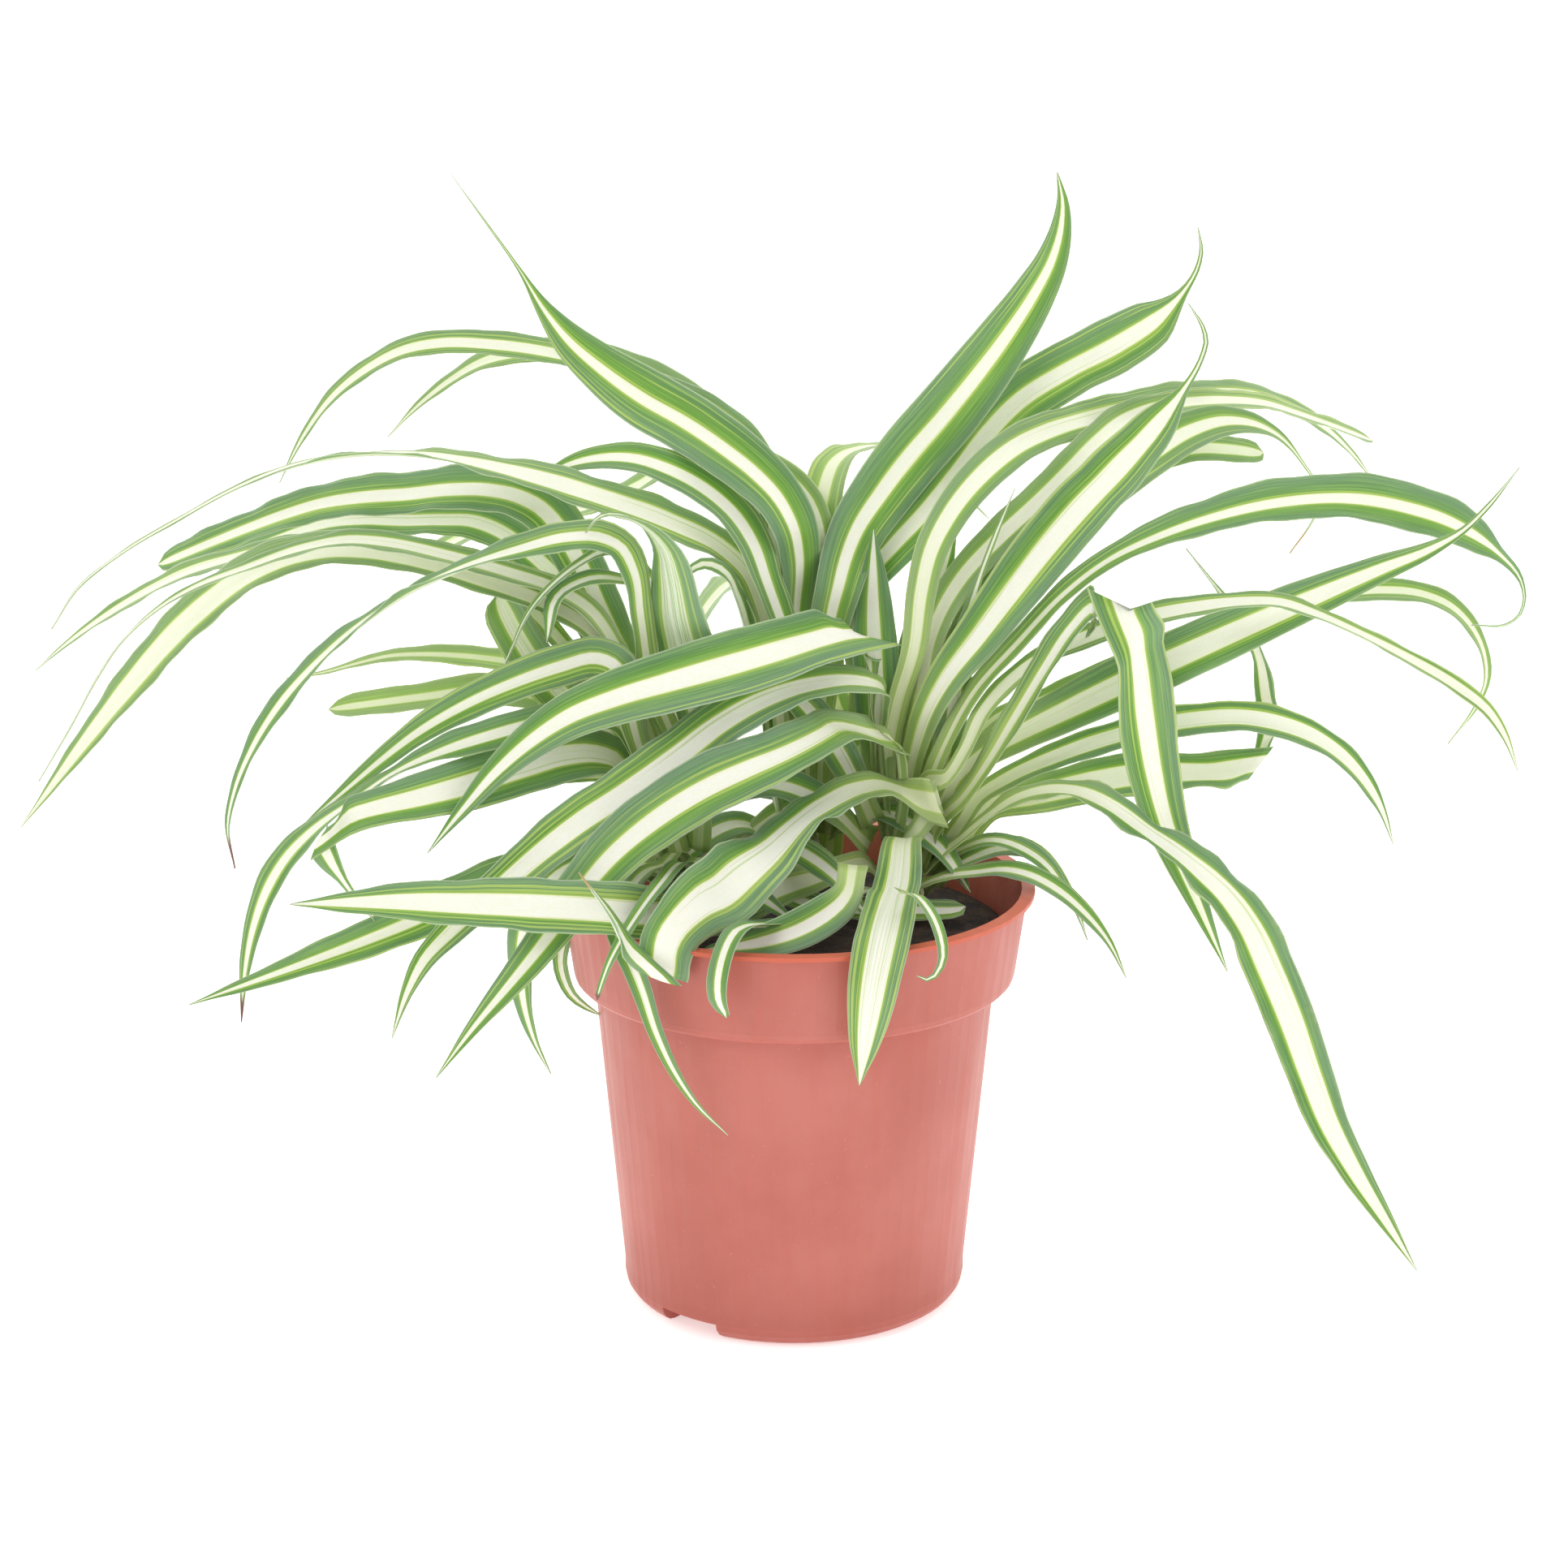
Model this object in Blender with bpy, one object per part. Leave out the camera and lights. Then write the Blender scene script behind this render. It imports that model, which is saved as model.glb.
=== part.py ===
"""Spider plant in a round plastic nursery pot.

The plant is three leafy shoots that stand close together in the soil. Each leaf is a solid of its own:
a long blade with a V-shaped section that leaves its shoot, arches over and hangs, some with a sharp kink.
Dimensions are in millimetres and are turned into metres where the meshes are made. +Z is up, -Y is the
front, and the origin is the middle of the whole plant's footprint, on the surface that the pot stands on.
"""

import math
from dataclasses import dataclass

import bmesh
import bpy
import numpy as np
from mathutils import Vector
from mathutils.bvhtree import BVHTree

MM = 0.001

# Pot: radii are measured from the pot's axis
RIM_HEIGHT = 106.5
LIP_RADIUS = 60.0
LIP_THICKNESS = 1.0
BAND_TOP_RADIUS = 58.2
BAND_FOOT_RADIUS = 55.4
BAND_HEIGHT = 23.5
BAND_ROUNDING = 2.6
WALL_TOP_RADIUS = 50.2
WALL_MIDDLE = (46.4, 41.0)
WALL_FOOT = (43.4, 8.0)
FOOT_RADIUS = 38.6
FOOT_RING_WIDTH = 3.0
WALL_THICKNESS = 1.5
FLOOR_HEIGHT = 4.0
FLOOR_THICKNESS = 1.8
POT_SEGMENTS = 72

DRAIN_RADIUS = 3.5
DRAIN_COUNT = 6
DRAIN_CIRCLE = 24.0
NOTCH_HEIGHT = 4.5
NOTCH_WIDTH = 17.0
NOTCH_HEADINGS = (232.0, 52.0)

# Soil and shoots
SOIL_HEIGHT = 96.0
SOIL_MOUND = 1.6
GAP = 0.3
SHOOT_HEIGHT = 16.0
SHOOT_FOOT_RADIUS = 5.6
SHOOT_TIP_RADIUS = 1.2
SHOOTS = {"right": (28.0, 16.0), "back": (4.0, 30.0), "left": (-26.0, 4.0)}
BARE_HEADINGS = {"right": 130.0, "back": 290.0, "left": 60.0}   # the side of each shoot without leaves

# Leaves
MIDRIB_THICKNESS = 0.9
TIP_THICKNESS = 0.5
THREAD_WIDTH = 1.5
BASE_WIDTH = 4.5
VEE_DEPTH = 0.16          # depth of the V against the blade's width
STATION_SPACING = 15.0
KINK_STATIONS = 26.0      # extra length that one radian of bend counts for when stations are shared out
FEWEST_STATIONS = 8
MOST_STATIONS = 18
CUT_END = 1.0             # length of the last step of a blade that ends in a cut
CLEARANCE = 0.45          # space kept round every blade while the leaves are moved apart

PARTING_TURNS = 300
SPRING_BACK = 0.97        # a leaf that nothing touches returns towards its own route at each turn
ROOMIEST = np.array([0.0, 0.96, -0.26])   # the way that leaves can move without changing how the plant spreads

POT_COLOUR = (0.60, 0.20, 0.13)
SOIL_COLOUR = (0.035, 0.022, 0.020)
LEAF_COLOUR = (0.16, 0.36, 0.10)
SHOOT_COLOUR = (0.48, 0.58, 0.26)


@dataclass
class Leaf:
    """One leaf: where it grows, the way it points, and the route of its midrib.

    heading: compass angles in degrees, 0 is +X and 90 is +Y, shared out evenly from base to tip.
    route: (reach, height) points; reach is the distance from the shoot's axis, height is above the floor.
    roll: degrees that the blade's upper face is turned to its own left, shared out from base to tip.
    peak: how far along the blade is at its widest. ends: where it has narrowed to a thread.
    taper: how long the blade keeps its width before it narrows. cut: width left at a cut end, 0 for a point.
    """

    name: str
    shoot: str
    heading: tuple
    route: tuple
    width: float
    roll: tuple = (0.0,)
    peak: float = 0.45
    ends: float = 1.0
    taper: float = 1.6
    cut: float = 0.0


LEAVES = (
    # Back shoot: the tall leaves
    Leaf("leaf_tall_left", "back", (168,),
         ((3, 150), (3, 170), (4, 188), (11, 202), (27, 214), (46, 224), (64, 238), (75, 254), (92, 277)),
         16, (30, 40, 60, 62, 50), peak=0.62, ends=0.88),
    Leaf("leaf_arch_left_far", "back", (158,),
         ((4, 150), (6, 186), (11, 204), (22, 216), (47, 226), (80, 232), (113, 230), (138, 214), (153, 192)),
         11, (30, 25, 20), peak=0.62, taper=2.6),
    Leaf("leaf_arch_left_middle", "back", (150,),
         ((4, 150), (9, 188), (28, 216), (52, 227), (75, 230), (98, 226), (117, 215), (131, 203)),
         11, (45, 30, 20), peak=0.6, taper=2.4),
    Leaf("leaf_long_left", "back", (190,),
         ((5, 150), (14, 178), (31, 191), (77, 208), (105, 213), (130, 210), (160, 196), (180, 183), (188, 172)),
         10, (50, 45, 40, 25, -12, 20, 10), peak=0.35, ends=0.85),
    Leaf("leaf_bow_left", "back", (182,),
         ((3, 150), (5, 170), (12, 187), (28, 202), (46, 209), (61, 207), (69, 203)),
         11, (40, 45, 45), peak=0.6, taper=3.0),
    Leaf("leaf_back_left_cut", "back", (140,),
         ((4, 150), (5, 190), (18, 204), (38, 206), (60, 194), (84, 185), (115, 177), (144, 163)),
         9, (40, 45), cut=0.8),
    Leaf("leaf_folded_centre", "back", (205,),
         ((9, 130), (13, 150), (17, 170), (22, 181), (30, 184), (37, 179)),
         12, (20, 40, 30), peak=0.5, taper=2.0),
    Leaf("leaf_tall_right", "back", (30,),
         ((3, 150), (4, 178), (22, 199), (46, 222), (64, 242), (72, 254), (75, 266), (73, 276)),
         17, (-30, -60, -60, -50), peak=0.58, taper=2.0),
    Leaf("leaf_tall_right_low", "back", (20,),
         ((4, 140), (11, 171), (29, 191), (58, 216), (89, 235), (101, 244), (107, 254), (106, 262)),
         15.5, (-30, -60, -60, -30), peak=0.66, ends=0.92, taper=2.4),
    Leaf("leaf_back_centre", "back", (95, 85, 65, 58),
         ((6, 150), (9, 180), (12, 196), (19, 204), (35, 206), (62, 200), (94, 178)),
         11, (0,)),
    Leaf("leaf_back_right", "back", (78,),
         ((6, 135), (20, 158), (48, 174), (80, 168), (108, 146)),
         11, (0,)),
    Leaf("leaf_back_middle", "back", (110,),
         ((5, 135), (20, 158), (50, 168), (85, 152), (110, 126)),
         12, (0,)),
    # Left shoot
    Leaf("leaf_wide_left", "left", (155,),
         ((8, 135), (25, 175), (40, 197), (56, 201), (80, 198), (104, 194), (129, 185), (157, 173)),
         13, (30, 45, 55, 50), cut=0.6),
    Leaf("leaf_wide_left_under", "left", (148,),
         ((10, 135), (32, 172), (60, 190), (85, 189), (111, 186), (137, 177), (163, 167)),
         11, (30, 45, 50), cut=0.6),
    Leaf("leaf_strap_left", "left", (160,),
         ((12, 130), (35, 165), (60, 183), (98, 186), (121, 181), (142, 174), (170, 158), (187, 145)),
         9, (30, 30, 20, 45), peak=0.75),
    Leaf("leaf_droop_left_wide", "left", (168,),
         ((10, 140), (22, 166), (50, 179), (84, 187), (107, 183), (128, 169), (149, 147), (180, 109)),
         12.5, (20, 30, 40, 60, 60), peak=0.7),
    Leaf("leaf_droop_left_thin", "left", (174,),
         ((10, 145), (24, 174), (54, 186), (85, 191), (112, 183), (130, 175), (145, 162), (155, 146), (167, 127)),
         9, (30, 20, 20), ends=0.85),
    Leaf("leaf_thin_left", "left", (185,),
         ((8, 150), (13, 187), (22, 194), (49, 189), (69, 181), (89, 166), (105, 147), (114, 125), (113, 112)),
         10, (40, 50, 45, -12, 35, 30), peak=0.5, taper=2.6),
    Leaf("leaf_low_left_back", "left", (150,),
         ((13, 132), (33, 153), (60, 156), (92, 153), (110, 147), (126, 143)),
         8, (35,)),
    Leaf("leaf_low_left_cut", "left", (165,),
         ((12, 130), (30, 148), (50, 152), (75, 148), (96, 144)),
         9.5, (45,), cut=0.7),
    Leaf("leaf_stub_left", "left", (170,),
         ((10, 132), (27, 148), (39, 161), (48, 178)),
         12, (75,), cut=0.9),
    Leaf("leaf_wisp_left", "left", (175,),
         ((8, 150), (12, 184), (18, 190), (30, 184), (40, 173), (46, 160), (49, 154)),
         6, (25,)),
    Leaf("leaf_young_broad", "left", (240, 240, 240, 185),
         ((1, 125), (4, 150), (7, 175), (8, 192), (14, 199), (21, 200), (25, 195)),
         15, (0,), peak=0.5, taper=1.2),
    Leaf("leaf_front_left_upper", "left", (190,),
         ((8, 135), (14, 158), (22, 164), (35, 160), (50, 154), (70, 144), (84, 134), (98, 123)),
         11, (55,)),
    Leaf("leaf_front_left_hanging", "left", (194,),
         ((8, 130), (18, 148), (32, 150), (51, 147), (71, 140), (87, 130), (98, 122), (107, 108), (112, 88), (113, 78)),
         10, (40, 45, 45, -12, 45, 40), peak=0.5, taper=2.6),
    Leaf("leaf_front_left_folded", "left", (198,),
         ((9, 122), (17, 138), (30, 142), (52, 138), (72, 134), (88, 130), (92, 125), (89, 117), (80, 103)),
         15, (20, 45, 60, 50, 40), peak=0.4),
    Leaf("leaf_low_left_front", "left", (200,),
         ((10, 111), (21, 114), (34, 114), (53, 110), (73, 103), (100, 95), (127, 88)),
         12.5, (30, 50, 50, 45)),
    Leaf("leaf_hanging_left", "left", (207,),
         ((14, 112), (32, 114), (42, 107), (46, 97), (46, 82), (43, 70), (39, 61)),
         8.5, (20, 40, 30, 10)),
    Leaf("leaf_hanging_front", "left", (240, 243, 247, 252, 257, 262, 267, 280),
         ((15, 113), (35, 116), (48, 113), (55, 104), (57, 94), (57, 82), (58, 70), (58, 60)),
         6, (0,)),
    Leaf("leaf_brown_tip", "left", (275, 272, 268, 262, 255, 249),
         ((20, 112), (45, 115), (58, 112), (62, 104), (60, 97), (59, 94), (58, 93)),
         5, (0,)),
    Leaf("leaf_soil", "left", (355,),
         ((12, 106), (30, 102), (69, 101)),
         8, (-30,), cut=0.9),
    # Right shoot
    Leaf("leaf_kinked_top", "right", (200,),
         ((4, 130), (8, 155), (10, 166), (14, 169), (25, 167), (47, 163), (67, 159), (88, 153), (105, 142), (124, 122)),
         16.5, (10, 30, 65, 65, 60), peak=0.5),
    Leaf("leaf_kinked_middle", "right", (210,),
         ((2, 130), (4, 146), (8, 154), (14, 156), (27, 155), (50, 149), (73, 139), (95, 129), (117, 115), (134, 102),
          (142, 85)),
         14, (20, 40, 40), peak=0.5, taper=2.2),
    Leaf("leaf_kinked_front", "right", (218,),
         ((1, 125), (4, 138), (11, 146), (20, 149), (32, 147), (55, 141), (80, 128), (103, 112), (127, 94), (141, 81)),
         17, (15, 35, 35)),
    Leaf("leaf_twisted_front", "right", (233, 233, 233, 225),
         ((1, 120), (6, 128), (19, 131), (40, 129), (58, 123), (72, 119), (81, 113), (90, 104), (95, 101), (99, 104),
          (103, 115), (110, 128)),
         14, (35, 35, -10, 60, 60, 30), peak=0.6),
    Leaf("leaf_low_front_left", "right", (225, 225, 224, 220, 212, 208),
         ((14, 110), (34, 110), (62, 111), (88, 114), (106, 116), (140, 119), (164, 120)),
         14, (40, 55, 50), peak=0.5, taper=3.0),
    Leaf("leaf_hook_front", "right", (240,),
         ((20, 104), (47, 106), (70, 110), (84, 112), (90, 107), (92, 99), (88, 92)),
         6, (0,), cut=0.85),
    Leaf("leaf_hanging_pot_front", "right", (266, 266, 264, 260),
         ((13, 117), (22, 119), (38, 115), (60, 113), (72, 110), (78, 103), (79, 95), (77, 84), (74, 74)),
         14, (0,), peak=0.6, taper=2.5),
    Leaf("leaf_upright_right", "right", (12,),
         ((4, 130), (7, 150), (16, 164), (38, 190), (63, 216), (72, 228), (76, 238), (71, 247)),
         15.5, (-40, -60, -60, -40), ends=0.85, peak=0.58, taper=2.4),
    Leaf("leaf_arch_right_far", "right", (40,),
         ((2, 135), (3, 160), (8, 187), (25, 203), (45, 212), (80, 216), (120, 215), (143, 208), (161, 198), (178, 183)),
         11, (-60, -50, -20, -25), peak=0.5, taper=2.4),
    Leaf("leaf_arch_right_cut", "right", (35,),
         ((6, 140), (10, 168), (30, 190), (55, 208), (80, 216), (113, 215), (131, 210), (159, 200)),
         10, (-40, -25), cut=0.7),
    Leaf("leaf_arch_right", "right", (28,),
         ((8, 135), (16, 162), (36, 184), (65, 205), (92, 213), (108, 210), (118, 202), (126, 189), (117, 176)),
         12, (-40, -50, -50, -20), ends=0.85, peak=0.55, taper=2.2),
    Leaf("leaf_right_cut", "right", (38,),
         ((8, 130), (22, 168), (45, 188), (71, 200), (98, 203), (125, 199)),
         9.5, (-50,), cut=0.85),
    Leaf("leaf_bow_right", "right", (5,),
         ((5, 125), (13, 144), (27, 162), (45, 181), (70, 193), (98, 199), (120, 198), (144, 189), (157, 175),
          (155, 167), (144, 166)),
         13.5, (-40, -40, -30, -50, -40), peak=0.6, ends=0.88, taper=2.4),
    Leaf("leaf_straight_right", "right", (357,),
         ((6, 120), (15, 133), (45, 150), (77, 166), (109, 181), (136, 194), (149, 210)),
         14, (-60,), ends=0.92, taper=1.9),
    Leaf("leaf_drooping_right", "right", (350,),
         ((8, 130), (27, 153), (43, 166), (67, 175), (92, 178), (104, 174), (124, 165), (144, 152), (151, 138)),
         10, (-40, -35, -25, 12, -50), peak=0.55, taper=2.8),
    Leaf("leaf_curl_right", "right", (8,),
         ((8, 122), (17, 140), (38, 150), (70, 163), (101, 172), (126, 174), (140, 170), (149, 160), (151, 148),
          (142, 133)),
         8, (-25,), peak=0.6, taper=2.4),
    Leaf("leaf_low_right", "right", (0,),
         ((8, 112), (13, 121), (38, 135), (64, 143), (86, 145), (105, 139), (118, 126), (124, 112)),
         9, (-45, -50, -40, -30), peak=0.55, taper=2.8),
    Leaf("leaf_low_right_folded", "right", (5,),
         ((10, 112), (20, 120), (38, 125), (62, 129), (80, 129), (90, 131), (94, 138), (92, 148), (88, 163), (70, 187)),
         12, (-45, -60, -40, -30, -30), peak=0.35),
    Leaf("leaf_kinked_right", "right", (345,),
         ((9, 122), (24, 147), (38, 167), (46, 176), (53, 178), (57, 171), (59, 160), (62, 140), (67, 121), (73, 107),
          (83, 85)),
         16, (-45, -45, -40, -30, -15, -50, -75, -70, -60), peak=0.5),
    Leaf("leaf_long_right_hanging", "right", (337,),
         ((9, 110), (19, 119), (31, 128), (42, 131), (52, 129), (63, 123), (86, 107), (101, 80), (113, 52), (136, 18)),
         16, (-20, -30, -20, -70, -75, -60), peak=0.6, taper=1.9),
    Leaf("leaf_rim_right", "right", (322,),
         ((10, 104), (19, 107), (32, 111), (43, 110), (55, 104), (61, 99), (67, 90)),
         7, (-20,)),
    Leaf("leaf_rim_right_back", "right", (350,),
         ((12, 108), (22, 112), (32, 112), (38, 107), (43, 99), (47, 89)),
         8, (-20,)),
    Leaf("leaf_young_upright", "right", (60,),
         ((8, 125), (13, 145), (16, 165), (17, 186)),
         5, (0,)),
    Leaf("leaf_young_right", "right", (15,),
         ((5, 118), (8, 135), (12, 155), (20, 181), (28, 202)),
         8, (-60,), ends=0.75),
)


def clear_scene():
    for thing in list(bpy.data.objects):
        bpy.data.objects.remove(thing, do_unlink=True)


def plain_material(name, colour, roughness):
    material = bpy.data.materials.new(name)
    material.use_nodes = True
    shader = material.node_tree.nodes["Principled BSDF"]
    shader.inputs["Base Color"].default_value = (*colour, 1.0)
    shader.inputs["Roughness"].default_value = roughness
    shader.inputs["Metallic"].default_value = 0.0
    return material


def face_outwards(mesh):
    shape = bmesh.new()
    shape.from_mesh(mesh)
    bmesh.ops.recalc_face_normals(shape, faces=shape.faces)
    shape.to_mesh(mesh)
    shape.free()


def make_object(name, points, faces, material):
    """Turn points in millimetres and faces into an object."""
    mesh = bpy.data.meshes.new(name)
    mesh.from_pydata([Vector(p) * MM for p in points], [], faces)
    mesh.materials.append(material)
    thing = bpy.data.objects.new(name, mesh)
    bpy.context.scene.collection.objects.link(thing)
    return thing


def on_circle(radius, heading, height):
    angle = math.radians(heading)
    return (radius * math.cos(angle), radius * math.sin(angle), height)


def turned(profile, segments):
    """Points and faces of a closed outline of (radius, height) turned about the Z axis."""
    count = len(profile)
    points = [on_circle(r, 360.0 * k / segments, z) for k in range(segments) for r, z in profile]
    faces = []
    for k in range(segments):
        here = k * count
        there = (k + 1) % segments * count
        for j in range(count):
            after = (j + 1) % count
            faces.append((here + j, there + j, there + after, here + after))
    return points, faces


def rounded(corner_centre, radius, start, end, steps):
    """Points on an arc in the (radius, height) plane, from one angle to another in degrees."""
    points = []
    for k in range(steps + 1):
        angle = math.radians(start + (end - start) * k / steps)
        points.append((corner_centre[0] + radius * math.cos(angle), corner_centre[1] + radius * math.sin(angle)))
    return points


def pot_profile():
    """The pot's section: up the outside from the foot, over the lip, down the inside to the middle hole."""
    ledge = RIM_HEIGHT - BAND_HEIGHT
    corner = (BAND_FOOT_RADIUS - BAND_ROUNDING, ledge + BAND_ROUNDING)
    foot_rounding = WALL_FOOT[0] - FOOT_RADIUS
    outside = rounded((FOOT_RADIUS, foot_rounding), foot_rounding, -90, 0, 4)
    outside += [WALL_FOOT, WALL_MIDDLE, (WALL_TOP_RADIUS, ledge)]
    outside += rounded(corner, BAND_ROUNDING, -90, 0, 3)
    outside += [(BAND_TOP_RADIUS, RIM_HEIGHT - LIP_THICKNESS), (LIP_RADIUS, RIM_HEIGHT - LIP_THICKNESS)]
    outside += [(LIP_RADIUS, RIM_HEIGHT)]
    t = WALL_THICKNESS
    floor_top = FLOOR_HEIGHT + FLOOR_THICKNESS
    inside = [(BAND_TOP_RADIUS - t, RIM_HEIGHT), (BAND_FOOT_RADIUS - t, ledge + t + 0.5)]
    inside += [(WALL_TOP_RADIUS - t, ledge + t), (WALL_MIDDLE[0] - t, WALL_MIDDLE[1])]
    inside += [(WALL_FOOT[0] - t, floor_top + 2.0), (WALL_FOOT[0] - t - 2.0, floor_top)]
    inside += [(DRAIN_RADIUS, floor_top), (DRAIN_RADIUS, FLOOR_HEIGHT)]
    inside += [(FOOT_RADIUS - FOOT_RING_WIDTH - 1.0, FLOOR_HEIGHT), (FOOT_RADIUS - FOOT_RING_WIDTH, 0.0)]
    return outside + inside


def cutter(name, points, faces, target):
    """A hidden solid that a Boolean takes out of the target."""
    tool = make_object(name, points, faces, target.data.materials[0])
    face_outwards(tool.data)
    tool.hide_render = True
    tool.display_type = "WIRE"
    cut = target.modifiers.new(name, "BOOLEAN")
    cut.operation = "DIFFERENCE"
    cut.object = tool
    return tool


def box_points(middle, along, across, half_length, half_width, low, high):
    points = []
    for z in (low, high):
        for a, b in ((-1, -1), (1, -1), (1, 1), (-1, 1)):
            points.append(Vector((middle[0], middle[1], 0.0)) + along * a * half_length
                          + across * b * half_width + Vector((0.0, 0.0, z)))
    return points


BOX_FACES = ((0, 3, 2, 1), (4, 5, 6, 7), (0, 1, 5, 4), (1, 2, 6, 5), (2, 3, 7, 6), (3, 0, 4, 7))


def drum(centre, radius, low, high, sides):
    points = []
    for z in (low, high):
        for k in range(sides):
            x, y, _ = on_circle(radius, 360.0 * k / sides, 0.0)
            points.append((centre[0] + x, centre[1] + y, z))
    faces = [tuple(reversed(range(sides))), tuple(range(sides, 2 * sides))]
    faces += [(k, (k + 1) % sides, sides + (k + 1) % sides, sides + k) for k in range(sides)]
    return points, faces


def make_pot():
    plastic = plain_material("terracotta_plastic", POT_COLOUR, 0.5)
    pot = make_object("pot", *turned(pot_profile(), POT_SEGMENTS), plastic)
    face_outwards(pot.data)
    for k in range(DRAIN_COUNT):
        centre = on_circle(DRAIN_CIRCLE, 360.0 * (k + 0.5) / DRAIN_COUNT, 0.0)
        cutter(f"drain_cut_{k}", *drum(centre, DRAIN_RADIUS, 1.0, 9.0, 14), pot)
    for k, heading in enumerate(NOTCH_HEADINGS):
        outward = Vector(on_circle(1.0, heading, 0.0))
        sideways = Vector((-outward.y, outward.x, 0.0))
        points = box_points(outward * 42.0, outward, sideways, 10.0, NOTCH_WIDTH / 2, -2.0, NOTCH_HEIGHT)
        cutter(f"notch_cut_{k}", points, BOX_FACES, pot)
    pot.data.shade_smooth()
    pot.data.set_sharp_from_angle(angle=math.radians(35))
    return pot


def wall_radius(height):
    """Inner radius of the pot at a height below the ledge."""
    ledge = (WALL_TOP_RADIUS, RIM_HEIGHT - BAND_HEIGHT)
    corners = (WALL_FOOT, WALL_MIDDLE, ledge)
    radius = np.interp(height, [z for _, z in corners], [r for r, _ in corners])
    return float(radius) - WALL_THICKNESS


def make_soil():
    """A plug of soil that fills the pot to a little under its rim, with a low uneven mound on top."""
    earth = plain_material("soil", SOIL_COLOUR, 0.95)
    ledge = RIM_HEIGHT - BAND_HEIGHT + WALL_THICKNESS
    floor = FLOOR_HEIGHT + FLOOR_THICKNESS + GAP
    sides = [(wall_radius(floor) - 2.6, floor), (wall_radius(floor + 3.0) - GAP, floor + 3.0)]
    sides += [(wall_radius(WALL_MIDDLE[1]) - GAP, WALL_MIDDLE[1]), (wall_radius(ledge) - GAP, ledge + 1.0)]
    band_inside = BAND_FOOT_RADIUS - WALL_THICKNESS - 1.0
    sides += [(band_inside, ledge + 1.4), (band_inside, SOIL_HEIGHT - 1.2)]
    top = [(r, SOIL_HEIGHT + SOIL_MOUND * (1.0 - (r / band_inside) ** 2)) for r in (49.0, 36.0, 22.0, 9.0)]
    rings = sides + top
    segments = 36
    points = [on_circle(r, 360.0 * k / segments, z) for r, z in rings for k in range(segments)]
    faces = [tuple(reversed(range(segments)))]
    for j in range(len(rings) - 1):
        for k in range(segments):
            after = (k + 1) % segments
            low, high = j * segments, (j + 1) * segments
            faces.append((low + k, low + after, high + after, high + k))
    faces.append(tuple(range((len(rings) - 1) * segments, len(rings) * segments)))
    return make_object("soil", points, faces, earth)


def soil_top(x, y):
    band_inside = BAND_FOOT_RADIUS - WALL_THICKNESS - 1.0
    return SOIL_HEIGHT + SOIL_MOUND * (1.0 - (x * x + y * y) / band_inside ** 2)


def shoot_radius(rise):
    """Radius of a shoot's stem at a height above its foot."""
    share = min(max(rise / SHOOT_HEIGHT, 0.0), 1.0)
    return SHOOT_FOOT_RADIUS + (SHOOT_TIP_RADIUS - SHOOT_FOOT_RADIUS) * share


def make_shoot(name, place):
    """The short pale stem that a shoot's leaves grow from, a blunt cone standing on the soil."""
    foot = soil_top(*place) + GAP
    material = plain_material(name, SHOOT_COLOUR, 0.6)
    sides = 12
    rises = (0.0, SHOOT_HEIGHT * 0.5, SHOOT_HEIGHT)
    points = []
    for rise in rises:
        for k in range(sides):
            x, y, _ = on_circle(shoot_radius(rise), 360.0 * k / sides, 0.0)
            points.append((place[0] + x, place[1] + y, foot + rise))
    faces = [tuple(reversed(range(sides))), tuple(range(2 * sides, 3 * sides))]
    for j in range(len(rises) - 1):
        for k in range(sides):
            after = (k + 1) % sides
            faces.append((j * sides + k, j * sides + after, (j + 1) * sides + after, (j + 1) * sides + k))
    return make_object(name, points, faces, material)


def spread(values, share):
    """Read a list of values, laid out evenly from 0 to 1, at one share of the way along."""
    if len(values) == 1:
        return float(values[0])
    return float(np.interp(share, np.linspace(0.0, 1.0, len(values)), values))


def between(a, b, start, end, time):
    """The point between a and b at a time, where a is reached at the start time and b at the end time."""
    return ((end - time) * a + (time - start) * b) / (end - start)


def smooth_curve(points, steps=16):
    """A centripetal Catmull-Rom curve through the points."""
    knots = [2.0 * points[0] - points[1], *points, 2.0 * points[-1] - points[-2]]
    curve = []
    for k in range(1, len(knots) - 2):
        p = knots[k - 1:k + 3]
        t = [0.0]
        for a, b in zip(p, p[1:]):
            t.append(t[-1] + math.sqrt(np.linalg.norm(b - a)))
        for time in np.linspace(t[1], t[2], steps, endpoint=False):
            first = [between(p[i], p[i + 1], t[i], t[i + 1], time) for i in range(3)]
            second = [between(first[i], first[i + 1], t[i], t[i + 2], time) for i in range(2)]
            curve.append(between(*second, t[1], t[2], time))
    curve.append(points[-1])
    return np.array(curve)


def attachments():
    """Where each leaf leaves its shoot: the flattest lowest and outermost, all spread round the shoot."""
    places = {}
    for shoot, (x, y) in SHOOTS.items():
        bare = BARE_HEADINGS[shoot]
        foot = soil_top(x, y) + GAP
        grown = [leaf for leaf in LEAVES if leaf.shoot == shoot]
        by_heading = sorted(grown, key=lambda leaf: (leaf.heading[0] - bare) % 360.0)
        by_steepness = sorted(grown, key=lambda leaf: (leaf.route[0][1] - foot) / max(leaf.route[0][0], 1.0))
        for rank, leaf in enumerate(by_steepness):
            even = 360.0 * (by_heading.index(leaf) + 0.5) / len(grown)
            heading = bare + (even + (leaf.heading[0] - bare) % 360.0) / 2.0
            rise = 3.0 + (SHOOT_HEIGHT - 2.0) * rank / (len(grown) - 1)
            out = on_circle(shoot_radius(rise) + 1.3, heading, foot + rise)
            places[leaf.name] = np.array([x, y, 0.0]) + np.array(out)
    return places


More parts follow.
